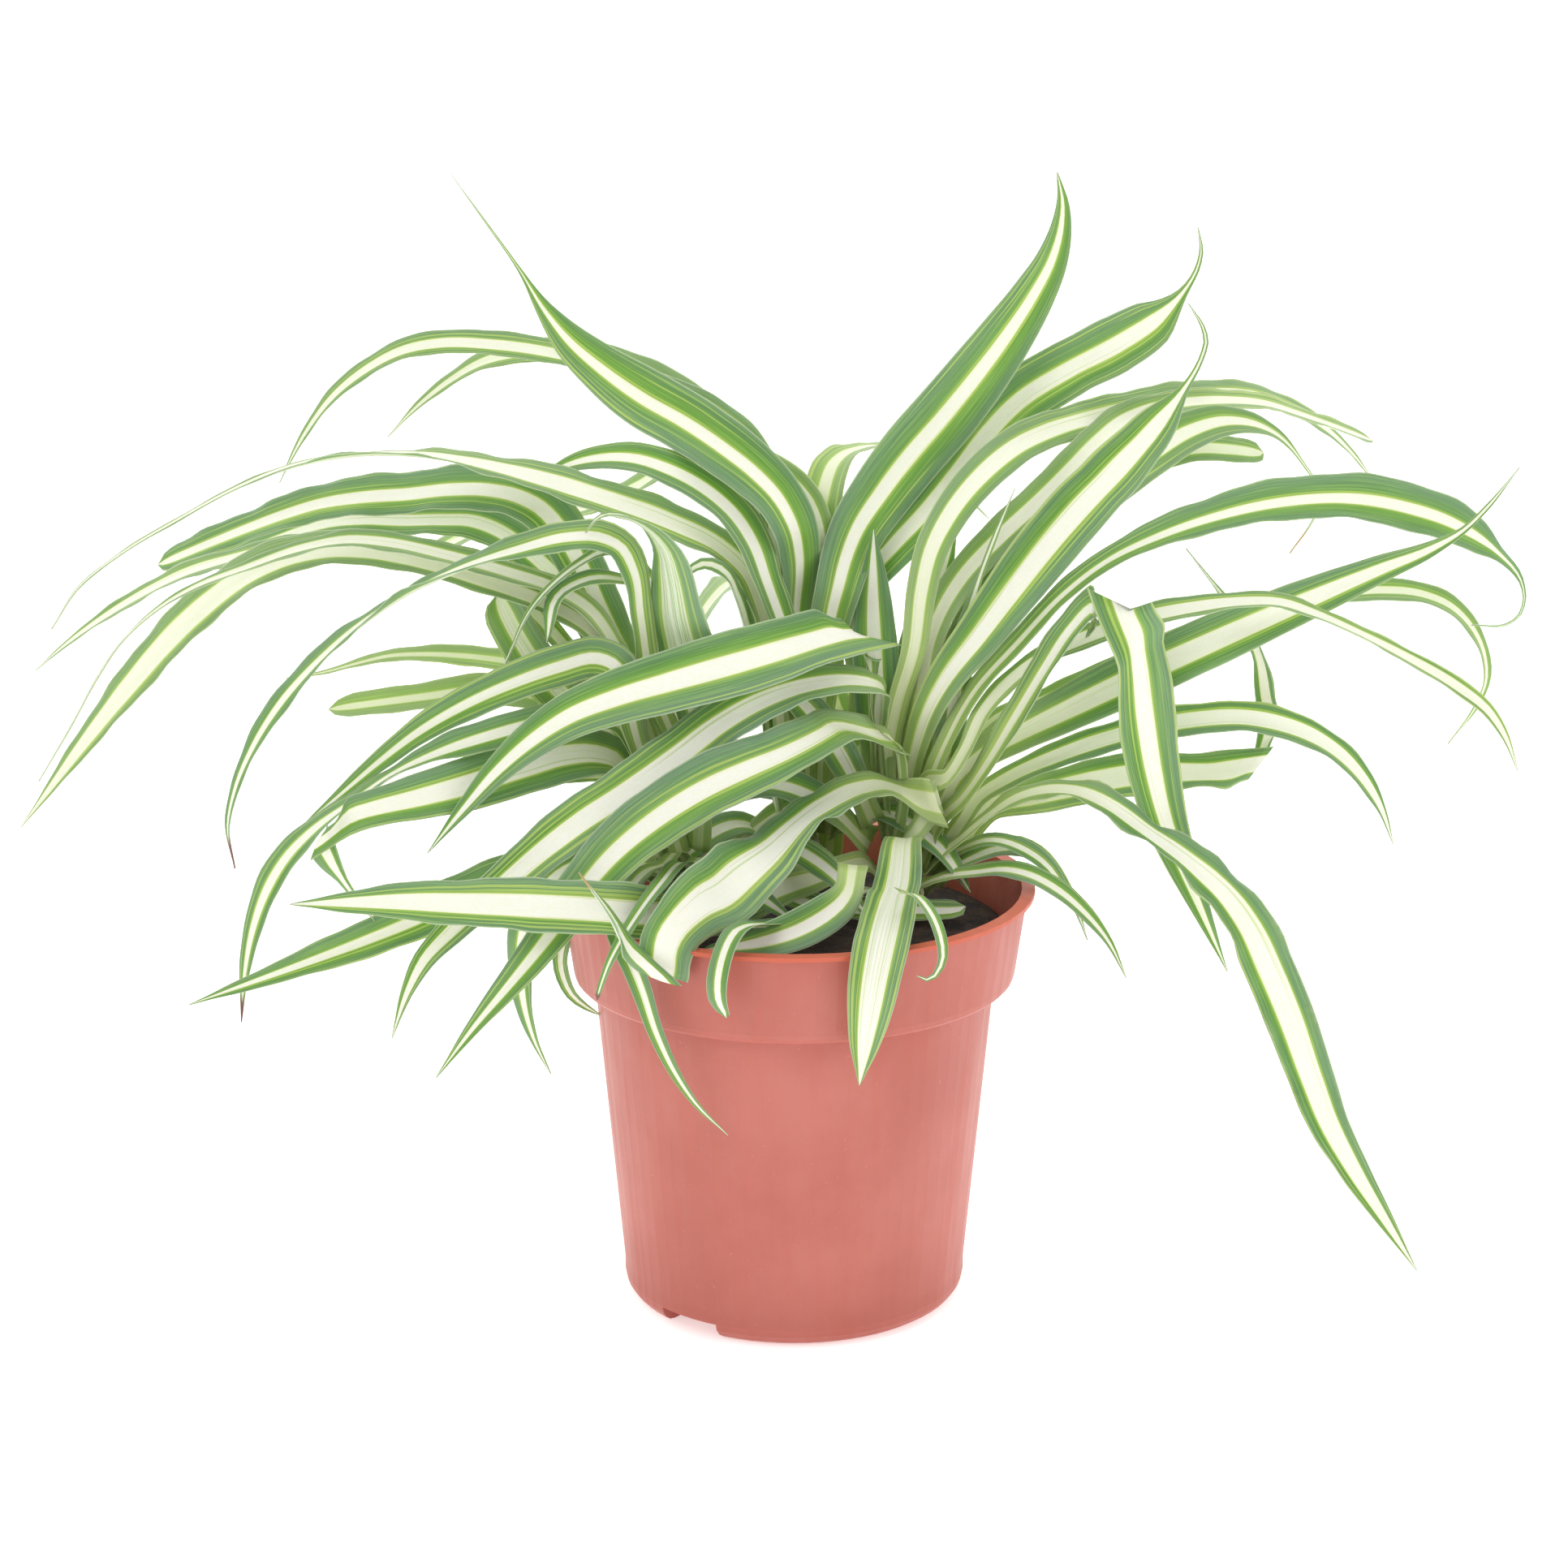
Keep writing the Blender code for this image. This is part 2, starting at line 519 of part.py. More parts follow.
class Blade:
    """The stations of one leaf: midrib points, frames, half widths and V depths."""

    def __init__(self, leaf, attachment):
        self.name = leaf.name
        centre = np.array([*SHOOTS[leaf.shoot], 0.0])
        start = (math.dist(attachment[:2], centre[:2]), attachment[2])
        flat = [start, *leaf.route]
        lengths = np.concatenate(([0.0], np.cumsum([math.dist(a, b) for a, b in zip(flat, flat[1:])])))
        shares = lengths / lengths[-1]
        knots = [centre + np.array(on_circle(r, spread(leaf.heading, s), z)) for (r, z), s in zip(flat, shares)]
        curve = smooth_curve([attachment, *knots[1:]])
        self.place_stations(leaf, curve)
        self.set_frames(leaf, curve)
        self.set_widths(leaf)
        self.moved = np.zeros_like(self.midrib)

    def place_stations(self, leaf, curve):
        """Share stations out along the curve, closer together where it bends sharply."""
        steps = np.diff(curve, axis=0)
        lengths = np.linalg.norm(steps, axis=1)
        directions = steps / lengths[:, None]
        turns = np.arccos(np.clip(np.sum(directions[:-1] * directions[1:], axis=1), -1.0, 1.0))
        cost = lengths.copy()
        cost[:-1] += KINK_STATIONS * turns * 0.5
        cost[1:] += KINK_STATIONS * turns * 0.5
        travelled = np.concatenate(([0.0], np.cumsum(cost)))
        count = int(np.clip(round(travelled[-1] / STATION_SPACING), FEWEST_STATIONS, MOST_STATIONS))
        marks = np.linspace(0.0, travelled[-1], count + 1)
        arc = np.concatenate(([0.0], np.cumsum(lengths)))
        if leaf.cut:
            marks = np.insert(marks, -1, np.interp(arc[-1] - CUT_END, arc, travelled))
        self.midrib = np.column_stack([np.interp(marks, travelled, curve[:, axis]) for axis in range(3)])
        self.share = np.interp(marks, travelled, arc) / arc[-1]
        self.length = arc[-1]

    def set_frames(self, leaf, curve):
        count = len(self.midrib)
        self.side = np.zeros((count, 3))
        self.face = np.zeros((count, 3))
        self.along = np.zeros((count, 3))
        for k in range(count):
            before, after = max(k - 1, 0), min(k + 1, count - 1)
            along = self.midrib[after] - self.midrib[before]
            along /= np.linalg.norm(along)
            heading = math.radians(spread(leaf.heading, self.share[k]))
            side = np.array([math.sin(heading), -math.cos(heading), 0.0])
            side -= along * side.dot(along)
            side /= np.linalg.norm(side)
            face = np.cross(side, along)
            roll = math.radians(spread(leaf.roll, self.share[k]))
            self.side[k] = side * math.cos(roll) + face * math.sin(roll)
            self.face[k] = face * math.cos(roll) - side * math.sin(roll)
            self.along[k] = along

    def set_widths(self, leaf):
        count = len(self.midrib)
        self.half = np.zeros(count)
        self.depth = np.zeros(count)
        self.thick = np.zeros(count)
        for k, share in enumerate(self.share):
            if share < leaf.peak:
                rise = share / leaf.peak
                width = BASE_WIDTH + (leaf.width - BASE_WIDTH) * rise * rise * (3.0 - 2.0 * rise)
            else:
                fall = min((share - leaf.peak) / (leaf.ends - leaf.peak), 1.0)
                width = leaf.width * (leaf.cut + (1.0 - leaf.cut) * (1.0 - fall ** leaf.taper))
            self.half[k] = max(width, THREAD_WIDTH) / 2.0
            self.thick[k] = MIDRIB_THICKNESS + (TIP_THICKNESS - MIDRIB_THICKNESS) * share
        for k in range(count):
            before, after = max(k - 1, 0), min(k + 1, count - 1)
            gap = np.linalg.norm(self.midrib[after] - self.midrib[before])
            bend = (self.along[after] - self.along[before]) / gap
            edgewise = max(abs(float(bend.dot(self.side[k]))), 0.001)
            facewise = max(abs(float(bend.dot(self.face[k]))), 0.001)
            self.half[k] = max(min(self.half[k], 0.7 / edgewise), THREAD_WIDTH / 2.0)
            self.depth[k] = min(2.0 * self.half[k] * VEE_DEPTH, 0.35 / facewise)

    def rings(self, grow=0.0):
        """Four points for each station but the last, then the tip: left edge, underside, right edge, top."""
        midrib = self.midrib + self.moved
        points = []
        for k in range(len(midrib) - 1):
            side = self.side[k] * (self.half[k] + grow)
            edge = self.face[k] * self.depth[k] * 0.5
            rib = self.face[k] * (self.thick[k] / 2.0 + grow)
            points += [midrib[k] - side + edge, midrib[k] - edge - rib]
            points += [midrib[k] + side + edge, midrib[k] - edge + rib]
        points.append(midrib[-1])
        return points

    def faces(self):
        """Triangles, with the upper and lower ones split the same way so that thin twisted blades stay clean."""
        rings = len(self.midrib) - 1
        faces = [(0, 1, 3), (1, 2, 3)]
        for k in range(rings - 1):
            for j in range(4):
                a, b = 4 * k + j, 4 * k + (j + 1) % 4
                if j % 2:
                    faces += [(a, b + 4, b), (a, a + 4, b + 4)]
                else:
                    faces += [(a, a + 4, b), (b, a + 4, b + 4)]
        last = 4 * (rings - 1)
        faces += [(last + (j + 1) % 4, last + j, last + 4) for j in range(4)]
        return faces

    def tree(self, grow):
        return BVHTree.FromPolygons([Vector(p) for p in self.rings(grow)], self.faces())

    def push(self, station, shift, reach=3.0):
        """Move the midrib near a station, fading out along the leaf and towards its base."""
        for k in range(len(self.midrib)):
            apart = abs(k - station) / reach
            if apart < 1.0:
                fade = math.cos(apart * math.pi / 2.0) ** 2 * min(1.0, (k + 0.6) / 3.0)
                self.moved[k] += shift * fade


def station_of(blade, triangle):
    return min(max((triangle - 2) // 8, 0), len(blade.midrib) - 1)


def contact_stations(first, second, pairs):
    """The stations where two blades touch, in the middle of the patch of touching triangles."""
    a = sorted(station_of(first, i) for i, _ in pairs)
    b = sorted(station_of(second, j) for _, j in pairs)
    return a[len(a) // 2], b[len(b) // 2]


def parting_direction(first, second, a, b):
    """The way the first leaf gives way: mostly front to back, where the plant has most room."""
    apart = first.midrib[a] - second.midrib[b]
    across = np.cross(first.along[a], second.along[b])
    if np.linalg.norm(across) < 0.35:
        across = apart - first.along[a] * apart.dot(first.along[a])
        if np.linalg.norm(across) < 0.2:
            across = first.face[a]
    across = across / np.linalg.norm(across)
    if across.dot(apart) < 0.0:
        across = -across
    back = ROOMIEST if apart.dot(ROOMIEST) >= 0.0 else -ROOMIEST
    direction = back + across * 0.5
    return direction / np.linalg.norm(direction)


def part_leaves(blades, step):
    """Push every pair of touching leaves a little way apart. Returns how many pairs touched."""
    trees = [blade.tree(CLEARANCE) for blade in blades]
    boxes = []
    for blade in blades:
        points = np.array(blade.rings(CLEARANCE))
        boxes.append((points.min(axis=0), points.max(axis=0)))
    touching = 0
    for i, first in enumerate(blades):
        for j in range(i + 1, len(blades)):
            if np.any(boxes[i][0] > boxes[j][1]) or np.any(boxes[j][0] > boxes[i][1]):
                continue
            pairs = trees[i].overlap(trees[j])
            if not pairs:
                continue
            touching += 1
            second = blades[j]
            a, b = contact_stations(first, second, pairs)
            direction = parting_direction(first, second, a, b)
            first.push(a, direction * step)
            second.push(b, -direction * step)
    return touching


def lift_off(blades, solids, step=0.5):
    """Push leaves that touch the pot, the soil or a shoot up and outwards. Returns how many touched."""
    touching = 0
    for blade in blades:
        tree = blade.tree(CLEARANCE)
        for kind, solid in solids:
            pairs = tree.overlap(solid)
            if not pairs:
                continue
            touching += 1
            stations = sorted(station_of(blade, i) for i, _ in pairs)
            station = stations[len(stations) // 2]
            place = blade.midrib[station] + blade.moved[station]
            outward = np.array([place[0], place[1], 0.0]) / max(math.hypot(place[0], place[1]), 1.0)
            direction = np.array([0.0, 0.0, 1.0])
            if kind == "pot" and place[2] < RIM_HEIGHT - 1.0:
                direction = outward
            if kind == "shoot":
                direction = direction * 0.5 + blade.along[station] * 0.5
            blade.push(station, direction * step, reach=2.5)
    return touching


def solid_tree(thing):
    """A search tree of an object's evaluated mesh, in millimetres."""
    mesh = thing.evaluated_get(bpy.context.evaluated_depsgraph_get()).to_mesh()
    points = [thing.matrix_world @ v.co / MM for v in mesh.vertices]
    faces = [tuple(polygon.vertices) for polygon in mesh.polygons]
    return BVHTree.FromPolygons(points, faces)


def grow_leaves(solids):
    places = attachments()
    blades = [Blade(leaf, places[leaf.name]) for leaf in LEAVES]
    for turn in range(PARTING_TURNS):
        settling = turn >= PARTING_TURNS // 3
        if not settling:
            for blade in blades:
                blade.moved *= SPRING_BACK
        touching = lift_off(blades, solids) + part_leaves(blades, 0.5 if settling else 0.35)
        if settling and not touching:
            break
    green = plain_material("leaf_green", LEAF_COLOUR, 0.45)
    for blade in blades:
        make_object(blade.name, blade.rings(), blade.faces(), green)
    return touching


def centre_on_footprint(things):
    """Move the whole plant so that the middle of its box's base is the origin."""
    bpy.context.view_layer.update()
    corners = [thing.matrix_world @ Vector(corner) for thing in things for corner in thing.bound_box]
    shift = Vector([-(min(c[axis] for c in corners) + max(c[axis] for c in corners)) / 2.0 for axis in (0, 1)] + [0.0])
    for thing in things:
        thing.location += shift
    return shift


def main():
    clear_scene()
    pot = make_pot()
    soil = make_soil()
    shoots = [make_shoot(f"shoot_{name}", place) for name, place in SHOOTS.items()]
    bpy.context.view_layer.update()
    solids = [("pot", solid_tree(pot)), ("soil", solid_tree(soil))]
    solids += [("shoot", solid_tree(shoot)) for shoot in shoots]
    left = grow_leaves(solids)
    print("leaf pairs still touching:", left)
    everything = [thing for thing in bpy.context.scene.objects if thing.type == "MESH"]
    centre_on_footprint(everything)


main()
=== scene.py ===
"""Looks for the potted spider plant: fine leaf blades, pot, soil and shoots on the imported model's frame.

Each CAD leaf is read back as a row of stations (two edges and the two sides of the midrib), and a smooth
blade with a rounded V, waved margins and its own stripe is lofted through them. Lengths are in metres.
"""
import itertools
import math
import random

import bmesh
import bpy
import numpy as np
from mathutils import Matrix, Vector


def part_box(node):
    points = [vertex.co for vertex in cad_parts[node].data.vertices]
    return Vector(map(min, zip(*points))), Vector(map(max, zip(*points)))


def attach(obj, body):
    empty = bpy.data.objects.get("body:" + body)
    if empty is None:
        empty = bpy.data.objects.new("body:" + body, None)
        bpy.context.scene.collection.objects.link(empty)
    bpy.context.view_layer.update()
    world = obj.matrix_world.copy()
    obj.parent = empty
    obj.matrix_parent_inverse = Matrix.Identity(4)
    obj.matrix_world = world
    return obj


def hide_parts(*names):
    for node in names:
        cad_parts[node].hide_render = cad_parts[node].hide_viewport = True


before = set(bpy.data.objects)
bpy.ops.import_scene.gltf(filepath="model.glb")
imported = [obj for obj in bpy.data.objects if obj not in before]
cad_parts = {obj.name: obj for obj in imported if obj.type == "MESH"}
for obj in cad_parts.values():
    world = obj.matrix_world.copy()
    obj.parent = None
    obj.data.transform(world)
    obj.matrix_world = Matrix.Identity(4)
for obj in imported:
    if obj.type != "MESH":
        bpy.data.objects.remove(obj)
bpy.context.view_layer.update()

MM = 0.001

POT_LOW, POT_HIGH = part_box("pot")
POT_AXIS = Vector(((POT_LOW.x + POT_HIGH.x) / 2, (POT_LOW.y + POT_HIGH.y) / 2, 0.0))
RIM_HEIGHT = POT_HIGH.z

CAMERA_FROM_POT = Vector((-2.6, -800.0, 351.0)) * MM
CAMERA_PITCH = 15.3             # degrees below level
CAMERA_LENS = 76.9              # mm
SENSOR_WIDTH = 36.0             # of the camera, in mm
WORLD_LIGHT = 0.64              # the surround's strength as a light

# Blade mesh
STEP = 2.2 * MM                 # distance between cross-sections
FEWEST_SECTIONS = 12
ACROSS = 14                     # strips from edge to edge
EDGE_THICKNESS = 0.16 * MM
RIB_THICKNESS = 0.55 * MM
FULL_THICKNESS_HALF = 3 * MM    # half width below which a blade thins towards its tip
THREAD_HALF = 0.12 * MM         # a blade's least half width
WAVE_LENGTH = 26 * MM
FULL_WAVE_HALF = 6 * MM         # half width from which the margin's waves have their full height
BASE_SHEATH = 1.3 * MM          # how much wider each side of a blade gets where it clasps its shoot
SHEATH_SHARE = 0.14             # how far up the blade the sheath reaches
CREASE_REACH = 15 * MM          # how far from a fold the blade turns towards it
CREASE_SEARCH = 0.04            # how far along the blade a fold may lie from its stated share
SMALL_LEAF_SECTIONS = 12

# Stage: a floor strip that runs straight, then curves up behind the plant
FLOOR_HALF_WIDTH = 8.0
FLOOR_FRONT = -6.0
FLOOR_FLAT = 8.5                # length of the flat stretch
FLOOR_FLAT_STEPS = 8
FLOOR_CURVE = 2.5               # radius of the curved stretch
FLOOR_CURVE_STEPS = 32
FLOOR_TOP = (5.0, 9.0)          # y and z of the far edge
FLOOR_GLOW = 0.5

# Lights: place, diameter and power. All point at the middle of the plant.
AIM_HEIGHT = 0.14
LIGHTS = {
    "key": ((-0.9, -1.1, 1.5), 1.2, 6.5),
    "fill": ((1.3, -0.8, 0.9), 1.2, 3.5),
    "top": ((0.1, 0.3, 1.9), 1.4, 7.0),
    "rim_left": ((-1.2, 0.9, 0.8), 0.9, 3.5),
    "rim_right": ((1.2, 0.9, 0.8), 0.9, 3.5),
}

# What is special about single leaves. stripe: share of the width that is cream. wave: height of the margin's
# waves. tip: 1 for a brown tip, 0.5 for tan. lines: 1 where the cream part is split into many fine lines.
# pale: how bleached the whole leaf is. turn: degrees its upper face is turned further to its own left, from
# base to tip. widen: (share, factor) pairs that fill out the blade's width.
USUAL = {"stripe": 0.30, "wave": 0.45, "tip": 0.0, "lines": 0.0, "pale": 0.0, "turn": (0, 0),
         "widen": ((0, 1), (1, 1))}
SPECIAL = {
    "leaf_tall_left": {"stripe": 0.20, "wave": 0.3,
                       "widen": ((0, 1), (0.66, 1), (0.76, 0.85), (0.84, 0.5), (0.9, 0.4), (1, 0.5))},
    "leaf_tall_right": {"stripe": 0.22, "wave": 0.2},
    "leaf_tall_right_low": {"stripe": 0.27, "wave": 0.3,
                            "widen": ((0, 1), (0.66, 1), (0.75, 1.08), (0.81, 1.4), (0.86, 1.9), (0.91, 1.5),
                                      (0.95, 1), (1, 1))},
    "leaf_kinked_top": {"stripe": 0.30, "wave": 0.5},
    "leaf_kinked_middle": {"stripe": 0.38, "wave": 0.5},
    "leaf_kinked_front": {"stripe": 0.27, "wave": 0.4},
    "leaf_kinked_right": {"stripe": 0.30, "wave": 0.3,
                          "widen": ((0, 0.85), (0.4, 0.9), (0.55, 1.15), (1, 1.1))},
    "leaf_twisted_front": {"stripe": 0.42, "wave": 0.8, "tip": 0.5,
                           "widen": ((0, 1), (0.15, 1.25), (0.6, 1.3), (1, 1))},
    "leaf_low_front_left": {"stripe": 0.42, "wave": 0.7},
    "leaf_low_left_front": {"stripe": 0.25, "wave": 0.7},
    "leaf_hanging_pot_front": {"stripe": 0.46, "wave": 0.6, "lines": 0.3,
                               "widen": ((0, 1), (0.12, 1.45), (0.25, 1.22), (0.45, 0.92), (1, 1))},
    "leaf_long_right_hanging": {"stripe": 0.46, "wave": 1.5,
                                "widen": ((0, 1), (0.35, 0.76), (0.6, 0.78), (1, 0.85))},
    "leaf_straight_right": {"stripe": 0.38, "wave": 0.2},
    "leaf_upright_right": {"stripe": 0.34, "wave": 0.2,
                           "widen": ((0, 1), (0.66, 1), (0.75, 1.2), (0.8, 1.5), (0.84, 1.5), (0.9, 1),
                                     (1, 1))},
    "leaf_young_broad": {"stripe": 0.42, "lines": 0.7, "widen": ((0, 1), (0.5, 1.3), (1, 1))},
    "leaf_folded_centre": {"stripe": 0.40, "lines": 0.4},
    "leaf_wide_left": {"stripe": 0.28, "wave": 0.6},
    "leaf_wide_left_under": {"stripe": 0.32, "wave": 0.6},
    "leaf_bow_right": {"stripe": 0.22, "wave": 0.4,
                       "widen": ((0, 1), (0.15, 0.9), (0.3, 0.68), (0.4, 0.6), (0.48, 0.85), (0.56, 1),
                                 (0.66, 1.05), (0.74, 1.3), (0.79, 1.7), (0.84, 2.3), (0.89, 1.9),
                                 (0.94, 1), (1, 1))},
    "leaf_bow_left": {"stripe": 0.30, "wave": 0.3},
    "leaf_front_left_folded": {"stripe": 0.36, "wave": 0.5},
    "leaf_front_left_upper": {"stripe": 0.25},
    "leaf_thin_left": {"tip": 1.0},
    "leaf_front_left_hanging": {"tip": 1.0},
    "leaf_brown_tip": {"tip": 1.0, "stripe": 0.22},
    "leaf_arch_right": {"tip": 0.5, "pale": 0.1, "turn": (0, 0, -30)},
    "leaf_stub_left": {"stripe": 0.30, "lines": 0.4, "pale": 0.15},
    "leaf_low_left_cut": {"stripe": 0.26, "pale": 0.4},
    "leaf_low_left_back": {"stripe": 0.26, "pale": 0.4},
    "leaf_back_left_cut": {"stripe": 0.40, "pale": 0.25},
    "leaf_back_centre": {"pale": 0.35},
    "leaf_back_right": {"pale": 0.2},
    "leaf_back_middle": {"pale": 0.2},
    "leaf_arch_left_far": {"stripe": 0.38, "pale": 0.1, "turn": (0, 10, 45),
                           "widen": ((0, 1), (0.35, 0.9), (0.5, 0.68), (1, 0.75))},
    "leaf_arch_left_middle": {"stripe": 0.38, "pale": 0.2, "turn": (0, 5, 40),
                              "widen": ((0, 1), (0.5, 0.8), (1, 0.8))},
    "leaf_long_left": {"stripe": 0.46, "pale": 0.1,
                       "widen": ((0, 1), (0.3, 1.1), (0.5, 1.6), (0.66, 1.9), (0.8, 1.4), (1, 1.3))},
    "leaf_strap_left": {"stripe": 0.44, "pale": 0.15},
    "leaf_droop_left_wide": {"stripe": 0.50, "pale": 0.2},
    "leaf_droop_left_thin": {"stripe": 0.46, "pale": 0.15},
    "leaf_arch_right_far": {"stripe": 0.40, "pale": 0.15, "turn": (0, 0, -40)},
    "leaf_arch_right_cut": {"stripe": 0.36, "pale": 0.2},
    "leaf_right_cut": {"stripe": 0.36, "pale": 0.15},
    "leaf_low_right": {"stripe": 0.48, "wave": 0.7, "turn": (0, 0, -25)},
    "leaf_low_right_folded": {"stripe": 0.48, "wave": 0.8},
    "leaf_drooping_right": {"stripe": 0.52, "pale": 0.1, "turn": (0, -5, -35),
                            "widen": ((0, 1), (0.4, 0.95), (0.6, 0.68), (1, 0.8))},
    "leaf_curl_right": {"pale": 0.2, "turn": (0, 0, -30)},
    "leaf_young_upright": {"stripe": 0.36, "pale": 0.2},
    "leaf_young_right": {"stripe": 0.36, "pale": 0.1},
    "leaf_hanging_left": {"turn": (0, 0, 20), "widen": ((0, 1), (0.5, 1.1), (1, 1.1))},
}

# Leaves folded sharply across. Lengths are in mm. share: how far along the fold is. angle: the fold line's
# slope, in degrees, seen from the front. half: half the fold line's length. shift: how far the fold lies from
# the smooth route, (x, z). notch: how far the fold dips at the midrib. tail: where the part before the fold
# ends, as (x, y, z) from the fold's middle, with its own end line's slope and half length.
CREASES = {
    "leaf_kinked_right": ({"share": 0.48, "angle": -13, "half": 8.2, "shift": (-1, 2.5), "notch": 5.0,
                           "tail": (-6, 3.5, -6), "tail_angle": 80, "tail_half": 6.0},),
    "leaf_kinked_top": ({"share": 0.32, "angle": -24, "half": 8.4, "shift": (2, 0), "notch": 4.0,
                         "tail": (-3, 3.5, -4), "tail_angle": -50, "tail_half": 4.5},),
    "leaf_kinked_front": ({"share": 0.20, "angle": -43, "half": 7.8, "shift": (6, -5), "notch": 1.5,
                           "tail": (-1, 3.0, -1), "tail_angle": -43, "tail_half": 6.0},),
    "leaf_twisted_front": ({"share": 0.10, "angle": -68, "half": 6.7, "shift": (5, 5), "notch": 1.0,
                            "tail": (0, 3.0, 1), "tail_angle": -75, "tail_half": 4.5},
                           {"share": 0.79, "angle": -20, "half": 5.6, "shift": (2, -1), "notch": -1.0,
                            "tail": (0.5, 3.5, 0), "tail_angle": -20, "tail_half": 6.4}),
    "leaf_front_left_folded": ({"share": 0.82, "angle": 62, "half": 4.5, "shift": (-1, 0), "notch": 0.5,
                                "tail": (0, -2.5, 0), "tail_angle": 62, "tail_half": 4.8},),
    "leaf_low_right_folded": ({"share": 0.62, "angle": 55, "half": 4.4, "shift": (0, 0), "notch": 0.0,
                               "tail": (0, -2.5, 0), "tail_angle": 55, "tail_half": 5.4},),
}

# Small leaves that the frame has no separate solid for: points from the pot's axis in mm, the way the upper
# face looks, and the width in mm.
SMALL_LEAVES = {
    "small_leaf_back_left": (((20, 22, 112), (0, 30, 121), (-22, 37, 122), (-40, 42, 114), (-50, 45, 108)),
                             (0, -0.5, 1), 10),
    "small_leaf_back_right": (((-17, 10, 112), (0, 22, 120), (18, 32, 121), (34, 40, 112)), (0, -0.5, 1), 9),
    "small_leaf_middle": (((-2, 22, 110), (-14, 14, 118), (-24, 4, 116), (-34, -8, 107)), (0.2, -0.6, 1), 9),
    "small_leaf_rising": (((19, 14, 112), (6, 8, 126), (-8, 4, 131), (-24, 0, 124)), (0, -0.8, 1), 10),
    "small_leaf_crossing": (((-17, -1, 112), (-4, -8, 119), (8, -16, 115), (18, -24, 105)), (0, -0.8, 1), 8),
    "small_leaf_right_back": (((10, 26, 112), (24, 16, 120), (36, 8, 114), (44, 0, 104)), (0.3, -0.6, 1), 9),
    "small_leaf_folded_front": (((14, -26, 119), (12, -36, 114), (3, -43, 109), (-9, -47, 106),
                                 (-22, -49, 105)),
                                (0, -0.9, 0.6), 10),
    "small_leaf_low_left": (((-30, -6, 108), (-24, -18, 114), (-12, -26, 113), (0, -30, 106)),
                            (0, -0.8, 0.8), 8),
    "small_leaf_hook": (((25, -44, 118), (29, -53, 119), (33, -60, 114), (34, -63, 107), (31, -65, 103),
                         (28, -65, 104)), (0.5, -1, 0.3), 3.2),
    "small_leaf_curl": (((-40, -4, 112), (-50, -8, 108), (-56, -10, 98), (-58, -10, 88), (-55, -10, 80),
                         (-48, -10, 75)), (-0.6, -0.8, 0.2), 5.5),
    "small_leaf_right_rim": (((38, 12, 110), (50, 6, 116), (62, 0, 112), (70, -4, 101)), (0.3, -0.6, 1), 6),
    "small_leaf_behind_left": (((22, 22, 120), (21, 26, 148), (20, 30, 170), (20, 32, 190)),
                               (0.1, -1, 0.1), 12),
    "small_leaf_behind_right": (((26, 22, 120), (29, 28, 146), (34, 32, 168), (41, 34, 190)),
                                (-0.1, -1, 0.2), 11),
    "small_leaf_left_of_shoot": (((20, 14, 118), (12, 12, 136), (2, 12, 150), (-12, 12, 160)),
                                 (0, -1, 0.4), 9),
    "small_leaf_top_left": (((-36, 4, 182), (-51, 4, 183), (-58, 4, 179), (-61, 4, 167)), (0, -0.5, 1), 6),
    "small_leaf_under_left": (((-38, 0, 134), (-62, -3, 134), (-85, -6, 130), (-100, -8, 126)),
                              (0, -0.8, 0.8), 3.5),
}


# ---------------------------------------------------------------- reading the frame

def unit(rows):
    return rows / np.maximum(np.linalg.norm(rows, axis=1, keepdims=True), 1e-12)


def welded(node, tolerance=1e-6):
    """A CAD node's points with doubles joined, and each point's neighbours."""
    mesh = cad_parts[node].data
    points, index, where = [], {}, []
    for vertex in mesh.vertices:
        key = tuple(round(c / tolerance) for c in vertex.co)
        if key not in index:
            index[key] = len(points)
            points.append(np.array(vertex.co))
        where.append(index[key])
    near = [set() for _ in points]
    for edge in mesh.edges:
        a, b = where[edge.vertices[0]], where[edge.vertices[1]]
        if a != b:
            near[a].add(b)
            near[b].add(a)
    return points, near


def levels_from(start, near):
    """Points grouped by how many edges they are from the start."""
    levels, seen = [[start]], {start}
    while True:
        found = sorted({n for p in levels[-1] for n in near[p]} - seen)
        if not found:
            return levels
        seen.update(found)
        levels.append(found)


def rings_from_tip(near):
    """The apex of a leaf, and its rings of four points in order from the tip."""
    for start in range(len(near)):
        if len(near[start]) != 4:
            continue
        levels = levels_from(start, near)
        if all(len(level) == 4 for level in levels[1:]):
            return start, levels[1:]
    raise ValueError("not a leaf")


def closest_pair(corners):
    """The two of a ring's four points that lie nearest to each other."""
    pairs = itertools.combinations(range(4), 2)
    return min(pairs, key=lambda pair: np.linalg.norm(corners[pair[0]] - corners[pair[1]]))


def matched(ring, model):
    """The ring's four points put in the same order as the model's."""
    shift = model.mean(axis=0) - ring.mean(axis=0)
    orders = itertools.permutations(range(4))
    best = min(orders, key=lambda order: np.sum((ring[list(order)] + shift - model) ** 2))
    return ring[list(best)]


def ordered_rings(rings):
    """The rings with their corners in one order, lower two first, and the number of the widest ring."""
    spans = [max(np.linalg.norm(a - b) for a, b in itertools.combinations(ring, 2)) for ring in rings]
    widest = int(np.argmax(spans))
    i, j = closest_pair(rings[widest])
    others = [k for k in range(4) if k not in (i, j)]
    rings[widest] = rings[widest][[i, j] + others]
    for k in range(widest + 1, len(rings)):
        rings[k] = matched(rings[k], rings[k - 1])
    for k in range(widest - 1, -1, -1):
        rings[k] = matched(rings[k], rings[k + 1])
    return np.array(rings), widest


